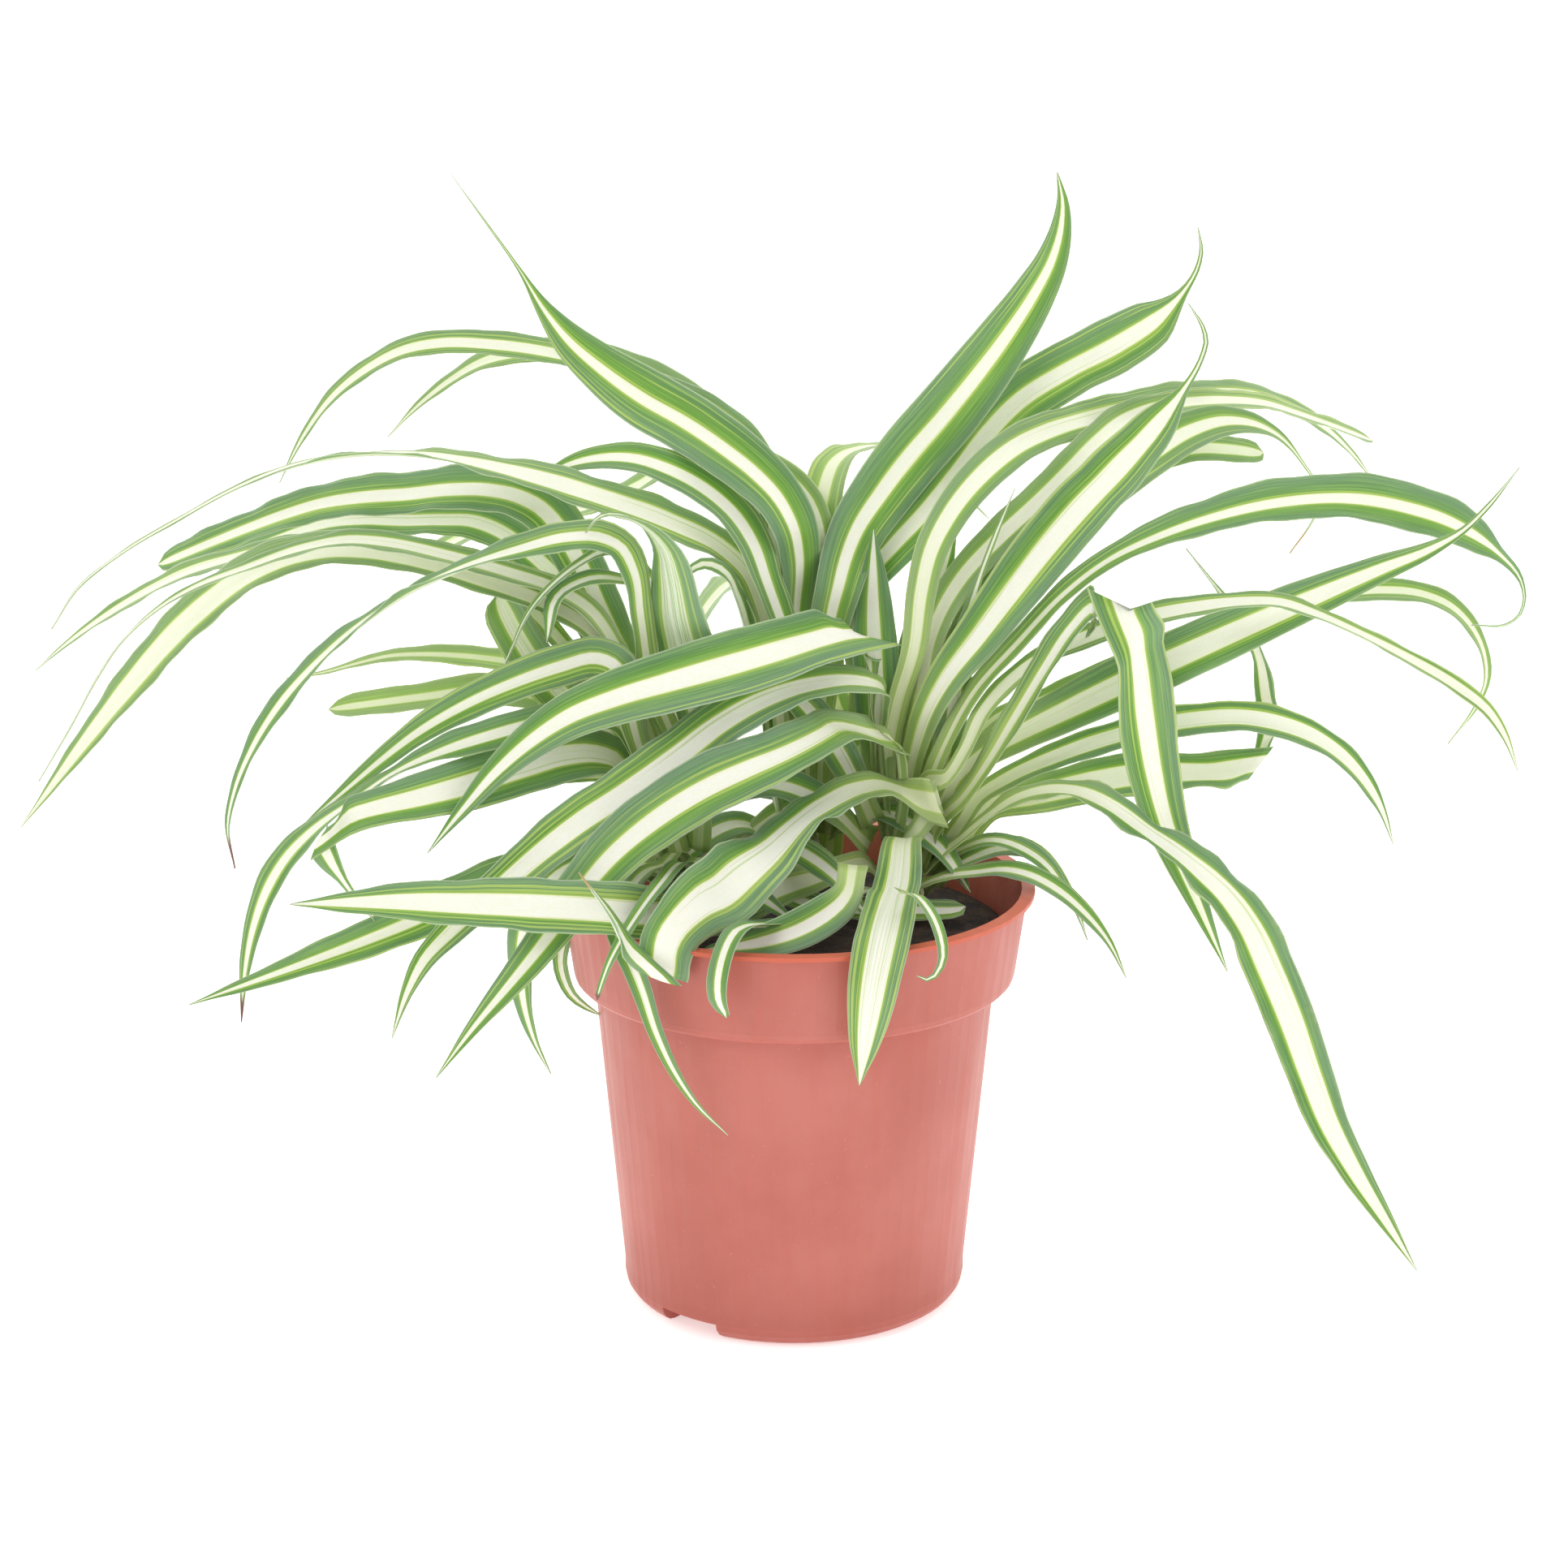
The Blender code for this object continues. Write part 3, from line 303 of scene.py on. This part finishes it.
def stations(node):
    """A leaf's cross-sections from base to tip: centres, side vectors, half widths and V depths."""
    points, near = welded(node)
    points = np.array(points)
    tip, levels = rings_from_tip(near)
    rings, widest = ordered_rings([points[level] for level in levels][::-1])
    centres = np.vstack((rings.mean(axis=1), points[tip]))
    along = unit(np.gradient(centres, axis=0))[:-1]
    right = rings[:, 2] - rings[:, 3]
    up = rings[:, 2:].mean(axis=1) - rings[:, :2].mean(axis=1)
    if np.cross(right[widest], along[widest]).dot(up[widest]) < 0.0:
        right = -right
    half = np.append(np.linalg.norm(right, axis=1) / 2.0, 0.0)
    depth = np.append(np.sum(np.cross(unit(right), along) * up, axis=1), 0.0)
    side = unit(right)
    return centres, np.vstack((side, side[-1])), half, depth


# ---------------------------------------------------------------- lofting a blade

def distances(points):
    """How far along the line each point is."""
    return np.concatenate(([0.0], np.cumsum(np.linalg.norm(np.diff(points, axis=0), axis=1))))


def smooth_rows(values, marks, wanted):
    """Values at marks, read at the wanted places along a smooth curve."""
    values = np.asarray(values, float)
    slopes = np.gradient(values, marks, axis=0)
    k = np.clip(np.searchsorted(marks, wanted, side="right") - 1, 0, len(marks) - 2)
    span = marks[k + 1] - marks[k]
    t = (wanted - marks[k]) / span
    shape = (-1,) + (1,) * (values.ndim - 1)
    t, span = t.reshape(shape), span.reshape(shape)
    return ((2 * t ** 3 - 3 * t ** 2 + 1) * values[k] + (t ** 3 - 2 * t ** 2 + t) * span * slopes[k]
            + (-2 * t ** 3 + 3 * t ** 2) * values[k + 1] + (t ** 3 - t ** 2) * span * slopes[k + 1])


def seeded(name):
    """A random source that depends only on a leaf's name."""
    return random.Random(sum(ord(letter) * (k + 3) for k, letter in enumerate(name)))


def smooth_step(value):
    value = np.clip(value, 0.0, 1.0)
    return value * value * (3.0 - 2.0 * value)


class Blade:
    """The fine centre line, widths and directions of one leaf, cut at its sharp folds into runs."""

    def __init__(self, centres, side, half, depth, traits=None):
        traits = traits or USUAL
        marks = distances(centres)
        count = max(int(marks[-1] / STEP), FEWEST_SECTIONS)
        self.mark = marks[-1] * np.linspace(0.0, 1.0, count)
        self.length = marks[-1]
        self.centre = smooth_rows(centres, marks, self.mark)
        self.half = self.rounded(np.maximum(np.interp(self.mark, marks, half), THREAD_HALF))
        self.depth = np.interp(self.mark, marks, depth)
        self.side = unit(smooth_rows(side, marks, self.mark))
        share = self.mark / self.length
        self.turn(share, traits["turn"])
        places, factors = zip(*traits["widen"])
        self.half *= np.interp(share, places, factors)
        self.half += BASE_SHEATH * np.clip(1.0 - share / SHEATH_SHARE, 0.0, 1.0)

    def turn(self, share, angles):
        """Square the side vectors to the centre line, and turn them by angles shared out along it."""
        along = unit(np.gradient(self.centre, axis=0))
        side = unit(self.side - along * np.sum(self.side * along, axis=1, keepdims=True))
        turn = np.radians(np.interp(share, np.linspace(0.0, 1.0, len(angles)), angles))[:, None]
        self.side = side * np.cos(turn) + np.cross(side, along) * np.sin(turn)

    def rounded(self, half):
        """Smooth the width along the blade, but keep the point."""
        kernel = np.array([1.0, 2.0, 3.0, 2.0, 1.0])
        smoothed = np.convolve(np.pad(half, 2, mode="edge"), kernel / kernel.sum(), mode="valid")
        smoothed[-1] = half[-1]
        return smoothed

    def sharpest(self, share):
        """Where the centre line bends most, close to a share of its length."""
        along = unit(np.gradient(self.centre, axis=0))
        bend = np.linalg.norm(np.gradient(along, axis=0), axis=1)
        far = np.abs(self.mark / self.length - share) > CREASE_SEARCH
        bend[far] = 0.0
        return int(np.argmax(bend))

    def runs(self, creases):
        """The blade cut at its folds, each run turned to its fold lines."""
        cuts = [self.sharpest(crease["share"]) for crease in creases]
        bounds = [0, *cuts, len(self.mark) - 1]
        runs = []
        for k, (start, end) in enumerate(zip(bounds, bounds[1:])):
            run = Run(self, start, end)
            if k > 0:
                run.fold(creases[k - 1], 0)
            if k < len(cuts):
                run.fold(creases[k], -1)
            runs.append(run)
        return runs


class Run:
    """A stretch of a blade between two folds, as a closed thin shell."""

    def __init__(self, blade, start, end):
        part = slice(start, end + 1)
        self.length = blade.length
        self.mark = blade.mark[part].copy()
        self.centre = blade.centre[part].copy()
        self.side = blade.side[part].copy()
        self.half = blade.half[part].copy()
        self.depth = blade.depth[part].copy()
        self.notch = np.zeros(len(self.mark))

    def fold(self, crease, end):
        """Turn the run's last (-1) or first (0) cross-sections towards the fold line."""
        reach = min(int(CREASE_REACH / STEP), len(self.mark) - 2)
        order = list(range(len(self.mark)))[-reach - 1:] if end == -1 else list(range(reach + 1))[::-1]
        inner, outer = order[0], order[-1]
        goal = self.centre[outer] + np.array((crease["shift"][0], 0.0, crease["shift"][1])) * MM
        angle, width = crease["angle"], crease["half"] * MM
        if end == -1:
            goal += np.array(crease["tail"]) * MM
            angle, width = crease["tail_angle"], crease["tail_half"] * MM
        line = np.array((math.cos(math.radians(angle)), 0.0, math.sin(math.radians(angle))))
        if line.dot(self.side[inner]) < 0.0:
            line = -line
        first, side, half = self.centre[inner].copy(), self.side[inner].copy(), self.half[inner]
        for k in order:
            time = (k - inner) / (outer - inner)
            ease = float(smooth_step(time))
            straight = first + (goal - first) * time
            self.centre[k] = self.centre[k] * (1.0 - ease) + straight * ease
            self.side[k] = side * (1.0 - ease) + line * ease
            self.side[k] /= np.linalg.norm(self.side[k])
            self.half[k] = half * (1.0 - ease) + width * ease
            if end == 0:
                self.notch[k] = crease["notch"] * MM * ease ** 2
        self.depth[outer] *= 0.6

    def section(self, k, traits, chance):
        """Offsets of one cross-section, left edge to right: across, to the side, upwards, along."""
        rows = []
        share = self.mark[k] / self.length
        wave = traits["wave"] * MM * min(self.half[k] / FULL_WAVE_HALF, 1.0) * min(share * 5.0, 1.0)
        for j in range(ACROSS + 1):
            across = 2.0 * j / ACROSS - 1.0
            size = abs(across)
            vee = self.depth[k] * (math.sqrt(size * size + 0.02) - 0.5) * (1.0 - 0.22 * size * size)
            phase = 2 * math.pi * self.mark[k] / WAVE_LENGTH + chance[0] + (1.3 if across > 0 else 0.0)
            ripple = wave * size ** 3 * (math.sin(phase) + 0.5 * math.sin(2.3 * phase + chance[1]))
            rows.append((across, across * self.half[k], vee + ripple, self.notch[k] * (1.0 - size)))
        return rows

    def shell(self, traits, chance):
        """Points, faces and each point's across, mark and side of the leaf."""
        along = unit(np.gradient(self.centre, axis=0))
        face = unit(np.cross(self.side, along))
        points, values, faces = [], [], []
        count, ring = len(self.mark), 2 * (ACROSS + 1)
        for k in range(count):
            rows = self.section(k, traits, chance)
            slim = 0.5 + 0.5 * min(self.half[k] / FULL_THICKNESS_HALF, 1.0)
            for upper in (1, -1):
                for across, aside, up, onward in (rows if upper == 1 else rows[::-1]):
                    thick = EDGE_THICKNESS + (RIB_THICKNESS - EDGE_THICKNESS) * (1.0 - abs(across)) ** 0.7
                    keel = math.exp(-(across * 6.0) ** 2) * 0.5 * thick if upper == -1 else 0.0
                    lift = (upper * thick / 2.0 - keel) * slim
                    point = self.centre[k] + self.side[k] * aside + face[k] * (up + lift) + along[k] * onward
                    points.append(Vector(point))
                    values.append((across, self.mark[k], float(upper)))
        for k in range(count - 1):
            for j in range(ring):
                a, b = k * ring + j, k * ring + (j + 1) % ring
                faces.append((a, b, b + ring, a + ring))
        faces.append(tuple(range(ring))[::-1])
        faces.append(tuple(range((count - 1) * ring, count * ring)))
        return points, values, faces


def write(mesh, name, values):
    mesh.attributes.new(name, "FLOAT", "POINT").data.foreach_set("value", np.array(values, dtype=np.float32))


def closed_mesh(name, points, faces):
    """A smooth-shaded mesh with its faces pointing out."""
    mesh = bpy.data.meshes.new(name)
    mesh.from_pydata(points, [], faces)
    shape = bmesh.new()
    shape.from_mesh(mesh)
    bmesh.ops.recalc_face_normals(shape, faces=shape.faces)
    shape.to_mesh(mesh)
    shape.free()
    mesh.shade_smooth()
    return mesh


def make_blade(name, runs, length, traits, material):
    """One leaf's object from its runs, with what the leaf's material reads at each point."""
    luck = seeded(name)
    chance = (luck.uniform(0, 6.28), luck.uniform(0, 6.28))
    points, values, faces = [], [], []
    for run in runs:
        more, told, shell = run.shell(traits, chance)
        faces += [tuple(i + len(points) for i in face) for face in shell]
        points += more
        values += told
    mesh = closed_mesh(name, points, faces)
    across, mark, upper = np.array(values).T
    write(mesh, "across", across)
    write(mesh, "run", mark / MM)
    write(mesh, "share", mark / length)
    write(mesh, "upper", upper)
    write(mesh, "chance", [luck.uniform(0.0, 1.0)] * len(points))
    for trait in ("stripe", "tip", "lines", "pale"):
        write(mesh, trait, [traits[trait]] * len(points))
    mesh.materials.append(material)
    thing = bpy.data.objects.new(name, mesh)
    bpy.context.scene.collection.objects.link(thing)
    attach(thing, "root")
    return thing


# ---------------------------------------------------------------- materials

class Nodes:
    """A short way to write a material's node tree."""

    def __init__(self, name):
        self.material = bpy.data.materials.new(name)
        self.material.use_nodes = True
        self.tree = self.material.node_tree
        self.shader = self.tree.nodes["Principled BSDF"]

    def put(self, socket, value):
        if isinstance(value, bpy.types.NodeSocket):
            self.tree.links.new(value, socket)
        elif isinstance(value, tuple) and len(value) == 3 and socket.type == "RGBA":
            socket.default_value = (*value, 1.0)
        else:
            socket.default_value = value

    def attribute(self, name):
        node = self.tree.nodes.new("ShaderNodeAttribute")
        node.attribute_name = name
        return node.outputs["Fac"]

    def math(self, operation, a, b=0.0):
        node = self.tree.nodes.new("ShaderNodeMath")
        node.operation = operation
        for socket, value in zip(node.inputs, (a, b)):
            self.put(socket, value)
        return node.outputs[0]

    def smooth(self, value, low, high, to_low=0.0, to_high=1.0):
        node = self.tree.nodes.new("ShaderNodeMapRange")
        node.interpolation_type = "SMOOTHSTEP"
        for socket, given in zip(node.inputs[:5], (value, low, high, to_low, to_high)):
            self.put(socket, given)
        return node.outputs[0]

    def mix(self, factor, a, b):
        node = self.tree.nodes.new("ShaderNodeMix")
        node.data_type = "RGBA"
        self.put(node.inputs["Factor"], factor)
        self.put(node.inputs[6], a)
        self.put(node.inputs[7], b)
        return node.outputs[2]

    def join(self, x, y=0.0, z=0.0):
        node = self.tree.nodes.new("ShaderNodeCombineXYZ")
        for socket, value in zip(node.inputs, (x, y, z)):
            self.put(socket, value)
        return node.outputs[0]

    def noise(self, vector, scale, detail=3.0, roughness=0.55):
        node = self.tree.nodes.new("ShaderNodeTexNoise")
        self.put(node.inputs["Vector"], vector)
        node.inputs["Scale"].default_value = scale
        node.inputs["Detail"].default_value = detail
        node.inputs["Roughness"].default_value = roughness
        return node.outputs["Fac"]

    def position(self):
        node = self.tree.nodes.new("ShaderNodeTexCoord")
        return node.outputs["Object"]

    def height(self, vector):
        node = self.tree.nodes.new("ShaderNodeSeparateXYZ")
        self.put(node.inputs[0], vector)
        return node.outputs["Z"]

    def bump(self, height, strength, distance):
        node = self.tree.nodes.new("ShaderNodeBump")
        node.inputs["Strength"].default_value = strength
        node.inputs["Distance"].default_value = distance
        self.put(node.inputs["Height"], height)
        self.put(self.shader.inputs["Normal"], node.outputs[0])

    def stretched(self, vector, scale):
        node = self.tree.nodes.new("ShaderNodeMapping")
        node.inputs["Scale"].default_value = scale
        self.put(node.inputs["Vector"], vector)
        return node.outputs[0]

    def glow_through(self, weight, radius):
        """Light that scatters inside, with a radius in metres for each colour."""
        self.set(Subsurface_Weight=weight)
        self.shader.inputs["Subsurface Radius"].default_value = radius
        self.shader.inputs["Subsurface Scale"].default_value = 1.0

    def set(self, **values):
        for name, value in values.items():
            self.put(self.shader.inputs[name.replace("_", " ")], value)


def from_srgb(red, green, blue):
    """A colour given as screen values from 0 to 255, as linear values."""
    def linear(value):
        value /= 255.0
        return value / 12.92 if value <= 0.04045 else ((value + 0.055) / 1.055) ** 2.4
    return (linear(red), linear(green), linear(blue))


class LeafNodes(Nodes):
    """A leaf's node tree, with what its parts share: the place on the leaf, its veins, bands and cells."""

    def __init__(self, name):
        super().__init__(name)
        self.across = self.attribute("across")
        self.run = self.attribute("run")
        self.share = self.attribute("share")
        self.chance = self.attribute("chance")
        self.size = self.math("ABSOLUTE", self.across)
        self.seed = self.math("MULTIPLY", self.chance, 91.0)

        # Slow drift of every line's place along the leaf
        drift = self.math("SUBTRACT", self.streaks(self.across, 1.3, 0.02, 2.0), 0.5)
        drift = self.math("MULTIPLY", drift, 0.10)
        self.place = self.math("ADD", self.size, drift)
        self.signed = self.math("ADD", self.across, self.math("MULTIPLY", drift, 0.7))

        self.vein = self.streaks(self.across, 26.0, 0.035, 4.0, 0.65)
        self.band = self.streaks(self.signed, 9.0, 0.008, 2.0, 0.5)
        self.cells = self.streaks(self.across, 40.0, 1.6, 2.0)

    def streaks(self, across, fineness, change, detail, roughness=0.55):
        """Noise drawn out along the leaf. fineness is across it, change is per mm along it."""
        x = self.math("MULTIPLY", across, fineness)
        at = self.join(x, self.math("MULTIPLY", self.run, change), self.seed)
        return self.noise(at, 1.0, detail, roughness)

    def green(self):
        """Greyish at the margin, fresh beside the stripe, with lighter and darker veins, and a painted
        greyish reflection on one side of each leaf.
        """
        # Painted reflection: each leaf's chance value picks one side of its V, and that side is mixed towards
        # a greyish green that stands in for the sky's reflection.
        half = self.math("GREATER_THAN", self.chance, 0.5)
        flip = self.math("SUBTRACT", self.math("MULTIPLY", half, 2.0), 1.0)
        painted_reflection_side = self.smooth(self.math("MULTIPLY", self.across, flip), -0.1, 0.8)
        green = self.mix(self.smooth(self.place, 0.85, 0.35), from_srgb(86, 132, 66), from_srgb(112, 161, 58))
        green = self.mix(self.smooth(self.size, 0.55, 0.98, 0.0, 0.7), green, from_srgb(110, 142, 110))
        # Painted reflection: the greyish green laid on the reflecting side.
        green = self.mix(self.math("MULTIPLY", painted_reflection_side, 0.55), green, from_srgb(117, 147, 120))
        green = self.mix(self.smooth(self.vein, 0.46, 0.66, 0.0, 0.45), green, from_srgb(158, 196, 104))
        green = self.mix(self.smooth(self.vein, 0.5, 0.3, 0.0, 0.35), green, from_srgb(60, 114, 44))
        thin_line = self.smooth(self.band, 0.58, 0.64)
        return self.mix(self.math("MULTIPLY", thin_line, 0.65), green, from_srgb(190, 212, 104))

    def cream(self, stripe):
        """The stripe's cream, with green threads in it and yellower towards its border."""
        mottled = self.smooth(self.cells, 0.35, 0.7)
        cream = self.mix(mottled, from_srgb(252, 252, 240), from_srgb(246, 248, 222))
        thread = self.math("MULTIPLY", self.smooth(self.band, 0.38, 0.33), self.smooth(self.size, 0.05, 0.2))
        cream = self.mix(self.math("MULTIPLY", thread, 0.55), cream, from_srgb(176, 204, 96))
        fine_lines = self.smooth(self.streaks(self.signed, 34.0, 0.02, 1.0), 0.48, 0.56)
        many = self.math("MULTIPLY", fine_lines, self.attribute("lines"))
        cream = self.mix(self.math("MULTIPLY", many, 0.85), cream, from_srgb(140, 184, 70))
        glow = self.smooth(self.place, self.math("SUBTRACT", stripe, 0.09), stripe)
        return self.mix(self.math("MULTIPLY", glow, 0.55), cream, from_srgb(238, 242, 182))

    def striped(self):
        """Green with a yellow-green border and the cream stripe inside it."""
        stripe = self.attribute("stripe")
        inside = self.smooth(self.place, self.math("ADD", stripe, 0.03), self.math("SUBTRACT", stripe, 0.015))
        border = self.smooth(self.place, self.math("ADD", stripe, 0.13), self.math("ADD", stripe, 0.03))
        colour = self.mix(self.math("MULTIPLY", border, 0.75), self.green(), from_srgb(172, 198, 84))
        return self.mix(inside, colour, self.cream(stripe))

    def paled(self, colour):
        """A pale edge, a yellow-green base, bleached leaves and the duller underside."""
        edge = self.smooth(self.size, 0.93, 0.99)
        colour = self.mix(self.math("MULTIPLY", edge, 0.6), colour, from_srgb(206, 222, 180))
        base = self.smooth(self.share, 0.38, 0.04)
        colour = self.mix(self.math("MULTIPLY", base, 0.55), colour, from_srgb(206, 222, 138))
        pale = self.attribute("pale")
        colour = self.mix(self.math("MULTIPLY", pale, 0.75), colour, from_srgb(214, 228, 150))
        under = self.smooth(self.attribute("upper"), 0.2, -0.2)
        return self.mix(self.math("MULTIPLY", under, 0.22), colour, from_srgb(160, 188, 150))

    def dry_tip(self, colour):
        """A ragged tan or brown tip on the leaves that have one."""
        tip = self.attribute("tip")
        ragged = self.math("MULTIPLY", self.math("SUBTRACT", self.vein, 0.5), 0.05)
        reached = self.smooth(self.math("ADD", self.share, ragged), 0.955, 0.975)
        dry = self.math("MULTIPLY", reached, self.smooth(tip, 0.0, 0.5))
        brown = self.mix(self.smooth(tip, 0.5, 1.0), from_srgb(190, 160, 110), from_srgb(112, 62, 52))
        return self.mix(dry, colour, brown)


def leaf_material():
    """Green margins, a cream stripe with thin yellow-green lines, fine veins, pale base and edge."""
    n = LeafNodes("variegated_leaf")
    n.set(Base_Color=n.dry_tip(n.paled(n.striped())))
    n.set(Roughness=n.smooth(n.vein, 0.3, 0.7, 0.36, 0.5))
    n.set(Specular_IOR_Level=0.45)
    n.glow_through(0.18, (0.0012, 0.0016, 0.0006))
    n.bump(n.math("ADD", n.vein, n.math("MULTIPLY", n.cells, 0.25)), 0.5, 0.00025)
    return n.material


def plastic_material():
    """Semi-matte terracotta-coloured plastic with faint marbling, flow streaks, fine grain and painted shade
    towards its base.
    """
    n = Nodes("terracotta_plastic")
    at = n.position()
    height = n.height(at)
    marbling = n.noise(at, 24.0, 5.0, 0.6)
    streak = n.noise(n.stretched(at, (220.0, 220.0, 9.0)), 1.0, 3.0, 0.6)
    specks = n.noise(at, 900.0, 2.0, 0.5)
    colour = n.mix(n.smooth(marbling, 0.35, 0.68), from_srgb(186, 101, 88), from_srgb(196, 113, 101))
    colour = n.mix(n.smooth(streak, 0.45, 0.7, 0.0, 0.18), colour, from_srgb(196, 100, 80))
    colour = n.mix(n.smooth(specks, 0.7, 0.76, 0.0, 0.25), colour, from_srgb(228, 150, 130))
    rim = n.smooth(height, RIM_HEIGHT - 2.2 * MM, RIM_HEIGHT - 0.8 * MM)
    colour = n.mix(n.math("MULTIPLY", rim, 0.65), colour, from_srgb(216, 98, 62))
    # Painted shade: the pot's colour darkens over its lowest 30 mm towards the floor.
    low = n.smooth(height, 30 * MM, 0.0, 0.0, 0.5)
    colour = n.mix(low, colour, from_srgb(172, 88, 74))
    n.set(Base_Color=colour)
    n.set(Roughness=n.smooth(streak, 0.3, 0.7, 0.40, 0.52))
    n.set(Specular_IOR_Level=0.45)
    n.glow_through(0.06, (0.004, 0.0015, 0.001))
    n.bump(n.math("ADD", n.math("MULTIPLY", specks, 0.4), streak), 0.25, 0.00012)
    return n.material


def soil_material():
    """Dark compost with lighter crumbs."""
    n = Nodes("potting_soil")
    at = n.position()
    coarse = n.noise(at, 160.0, 5.0, 0.65)
    fine = n.noise(at, 1300.0, 3.0, 0.6)
    colour = n.mix(n.smooth(coarse, 0.35, 0.65), from_srgb(30, 22, 20), from_srgb(74, 56, 46))
    colour = n.mix(n.smooth(fine, 0.62, 0.72, 0.0, 0.5), colour, from_srgb(120, 98, 78))
    n.set(Base_Color=colour)
    n.set(Roughness=n.smooth(fine, 0.3, 0.7, 0.8, 1.0))
    n.bump(n.math("ADD", coarse, n.math("MULTIPLY", fine, 0.5)), 0.9, 0.0012)
    return n.material


def shoot_material():
    """Pale green with fine upright fibres."""
    n = Nodes("pale_shoot")
    fibre = n.noise(n.stretched(n.position(), (900.0, 900.0, 60.0)), 1.0, 3.0)
    colour = n.mix(n.smooth(fibre, 0.35, 0.65), from_srgb(150, 180, 96), from_srgb(226, 232, 190))
    n.set(Base_Color=colour)
    n.set(Roughness=n.smooth(fibre, 0.3, 0.7, 0.45, 0.6))
    n.glow_through(0.15, (0.002, 0.002, 0.001))
    n.bump(fibre, 0.6, 0.0003)
    return n.material


# ---------------------------------------------------------------- pieces

def make_leaves(material):
    """Put a fine blade in place of each leaf's CAD solid."""
    for node in sorted(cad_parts):
        if not node.startswith("leaf"):
            continue
        traits = {**USUAL, **SPECIAL.get(node, {})}
        blade = Blade(*stations(node), traits)
        runs = blade.runs(CREASES.get(node, []))
        thing = make_blade(f"{node}_blade", runs, blade.length, traits, material)
        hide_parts(node)


def small_blade(points, looks, width):
    """A blade along a few points that is widest before its middle and ends in a point."""
    rows = np.array(points, float) * MM + np.array(POT_AXIS)
    marks = distances(rows)
    fine = np.linspace(0.0, marks[-1], SMALL_LEAF_SECTIONS)
    centres = smooth_rows(rows, marks, fine)
    along = unit(np.gradient(centres, axis=0))
    side = unit(np.cross(along, np.array(looks, float)))
    share = fine / fine[-1]
    shape = np.minimum(0.45 + 1.6 * share, 1.0) * (1.0 - np.clip((share - 0.5) / 0.5, 0.0, 1.0) ** 2.2)
    half = width * MM / 2.0 * shape
    return Blade(centres, side, half, half * 0.3)


def make_small_leaves(material):
    for name, (points, looks, width) in SMALL_LEAVES.items():
        blade = small_blade(points, looks, width)
        make_blade(name, blade.runs([]), blade.length, USUAL, material)


def assign(node, material):
    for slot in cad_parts[node].material_slots:
        slot.material = material


def floor_profile():
    """The floor's (y, z) points from its front edge to its far top edge."""
    points = []
    for k in range(FLOOR_FLAT_STEPS + FLOOR_CURVE_STEPS + 1):
        angle = math.radians(90.0 * max(k - FLOOR_FLAT_STEPS, 0) / FLOOR_CURVE_STEPS)
        flat = FLOOR_FRONT + FLOOR_FLAT * min(k / FLOOR_FLAT_STEPS, 1.0)
        points.append((flat + FLOOR_CURVE * math.sin(angle), FLOOR_CURVE * (1.0 - math.cos(angle))))
    return [*points, FLOOR_TOP]


def make_floor():
    mesh = bpy.data.meshes.new("floor")
    shape = bmesh.new()
    rows = [[shape.verts.new((x, y, z)) for x in (-FLOOR_HALF_WIDTH, FLOOR_HALF_WIDTH)]
            for y, z in floor_profile()]
    for low, high in zip(rows, rows[1:]):
        shape.faces.new((low[0], low[1], high[1], high[0]))
    shape.to_mesh(mesh)
    shape.free()
    mesh.shade_smooth()
    floor = bpy.data.objects.new("floor", mesh)
    bpy.context.scene.collection.objects.link(floor)
    n = Nodes("pale_floor")
    n.set(Base_Color=(0.93, 0.93, 0.93))
    n.set(Roughness=0.9)
    n.set(Emission_Color=(1.0, 1.0, 1.0))
    n.set(Emission_Strength=FLOOR_GLOW)
    mesh.materials.append(n.material)


def area_light(name, place, aim, size, power):
    data = bpy.data.lights.new(name, "AREA")
    data.shape = "DISK"
    data.size = size
    data.energy = power
    lamp = bpy.data.objects.new(name, data)
    lamp.location = place
    lamp.rotation_euler = (aim - Vector(place)).to_track_quat("-Z", "Y").to_euler()
    bpy.context.scene.collection.objects.link(lamp)


def make_world():
    """A white surround that gives a softer light than it looks."""
    world = bpy.data.worlds.new("studio")
    bpy.context.scene.world = world
    world.use_nodes = True
    nodes, links = world.node_tree.nodes, world.node_tree.links
    nodes["Background"].inputs["Color"].default_value = (1.0, 1.0, 1.0, 1.0)
    sight = nodes.new("ShaderNodeLightPath")
    level = nodes.new("ShaderNodeMapRange")
    level.inputs["To Min"].default_value = WORLD_LIGHT
    level.inputs["To Max"].default_value = 1.0
    links.new(sight.outputs["Is Camera Ray"], level.inputs["Value"])
    links.new(level.outputs[0], nodes["Background"].inputs["Strength"])


def make_lights():
    aim = POT_AXIS + Vector((0.0, 0.0, AIM_HEIGHT))
    for name, (place, size, power) in LIGHTS.items():
        area_light(name, place, aim, size, power)


def make_camera():
    data = bpy.data.cameras.new("camera")
    data.lens = CAMERA_LENS
    data.sensor_width = SENSOR_WIDTH
    camera = bpy.data.objects.new("camera", data)
    camera.location = POT_AXIS + CAMERA_FROM_POT
    camera.rotation_euler = (math.radians(90.0 - CAMERA_PITCH), 0.0, 0.0)
    bpy.context.scene.collection.objects.link(camera)
    bpy.context.scene.camera = camera


def main():
    make_camera()
    make_floor()
    make_world()
    make_lights()
    leafy = leaf_material()
    make_leaves(leafy)
    make_small_leaves(leafy)
    assign("pot", plastic_material())
    assign("soil", soil_material())
    pale = shoot_material()
    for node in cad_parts:
        if node.startswith("shoot"):
            assign(node, pale)
    bpy.context.scene.view_settings.view_transform = "Standard"


main()
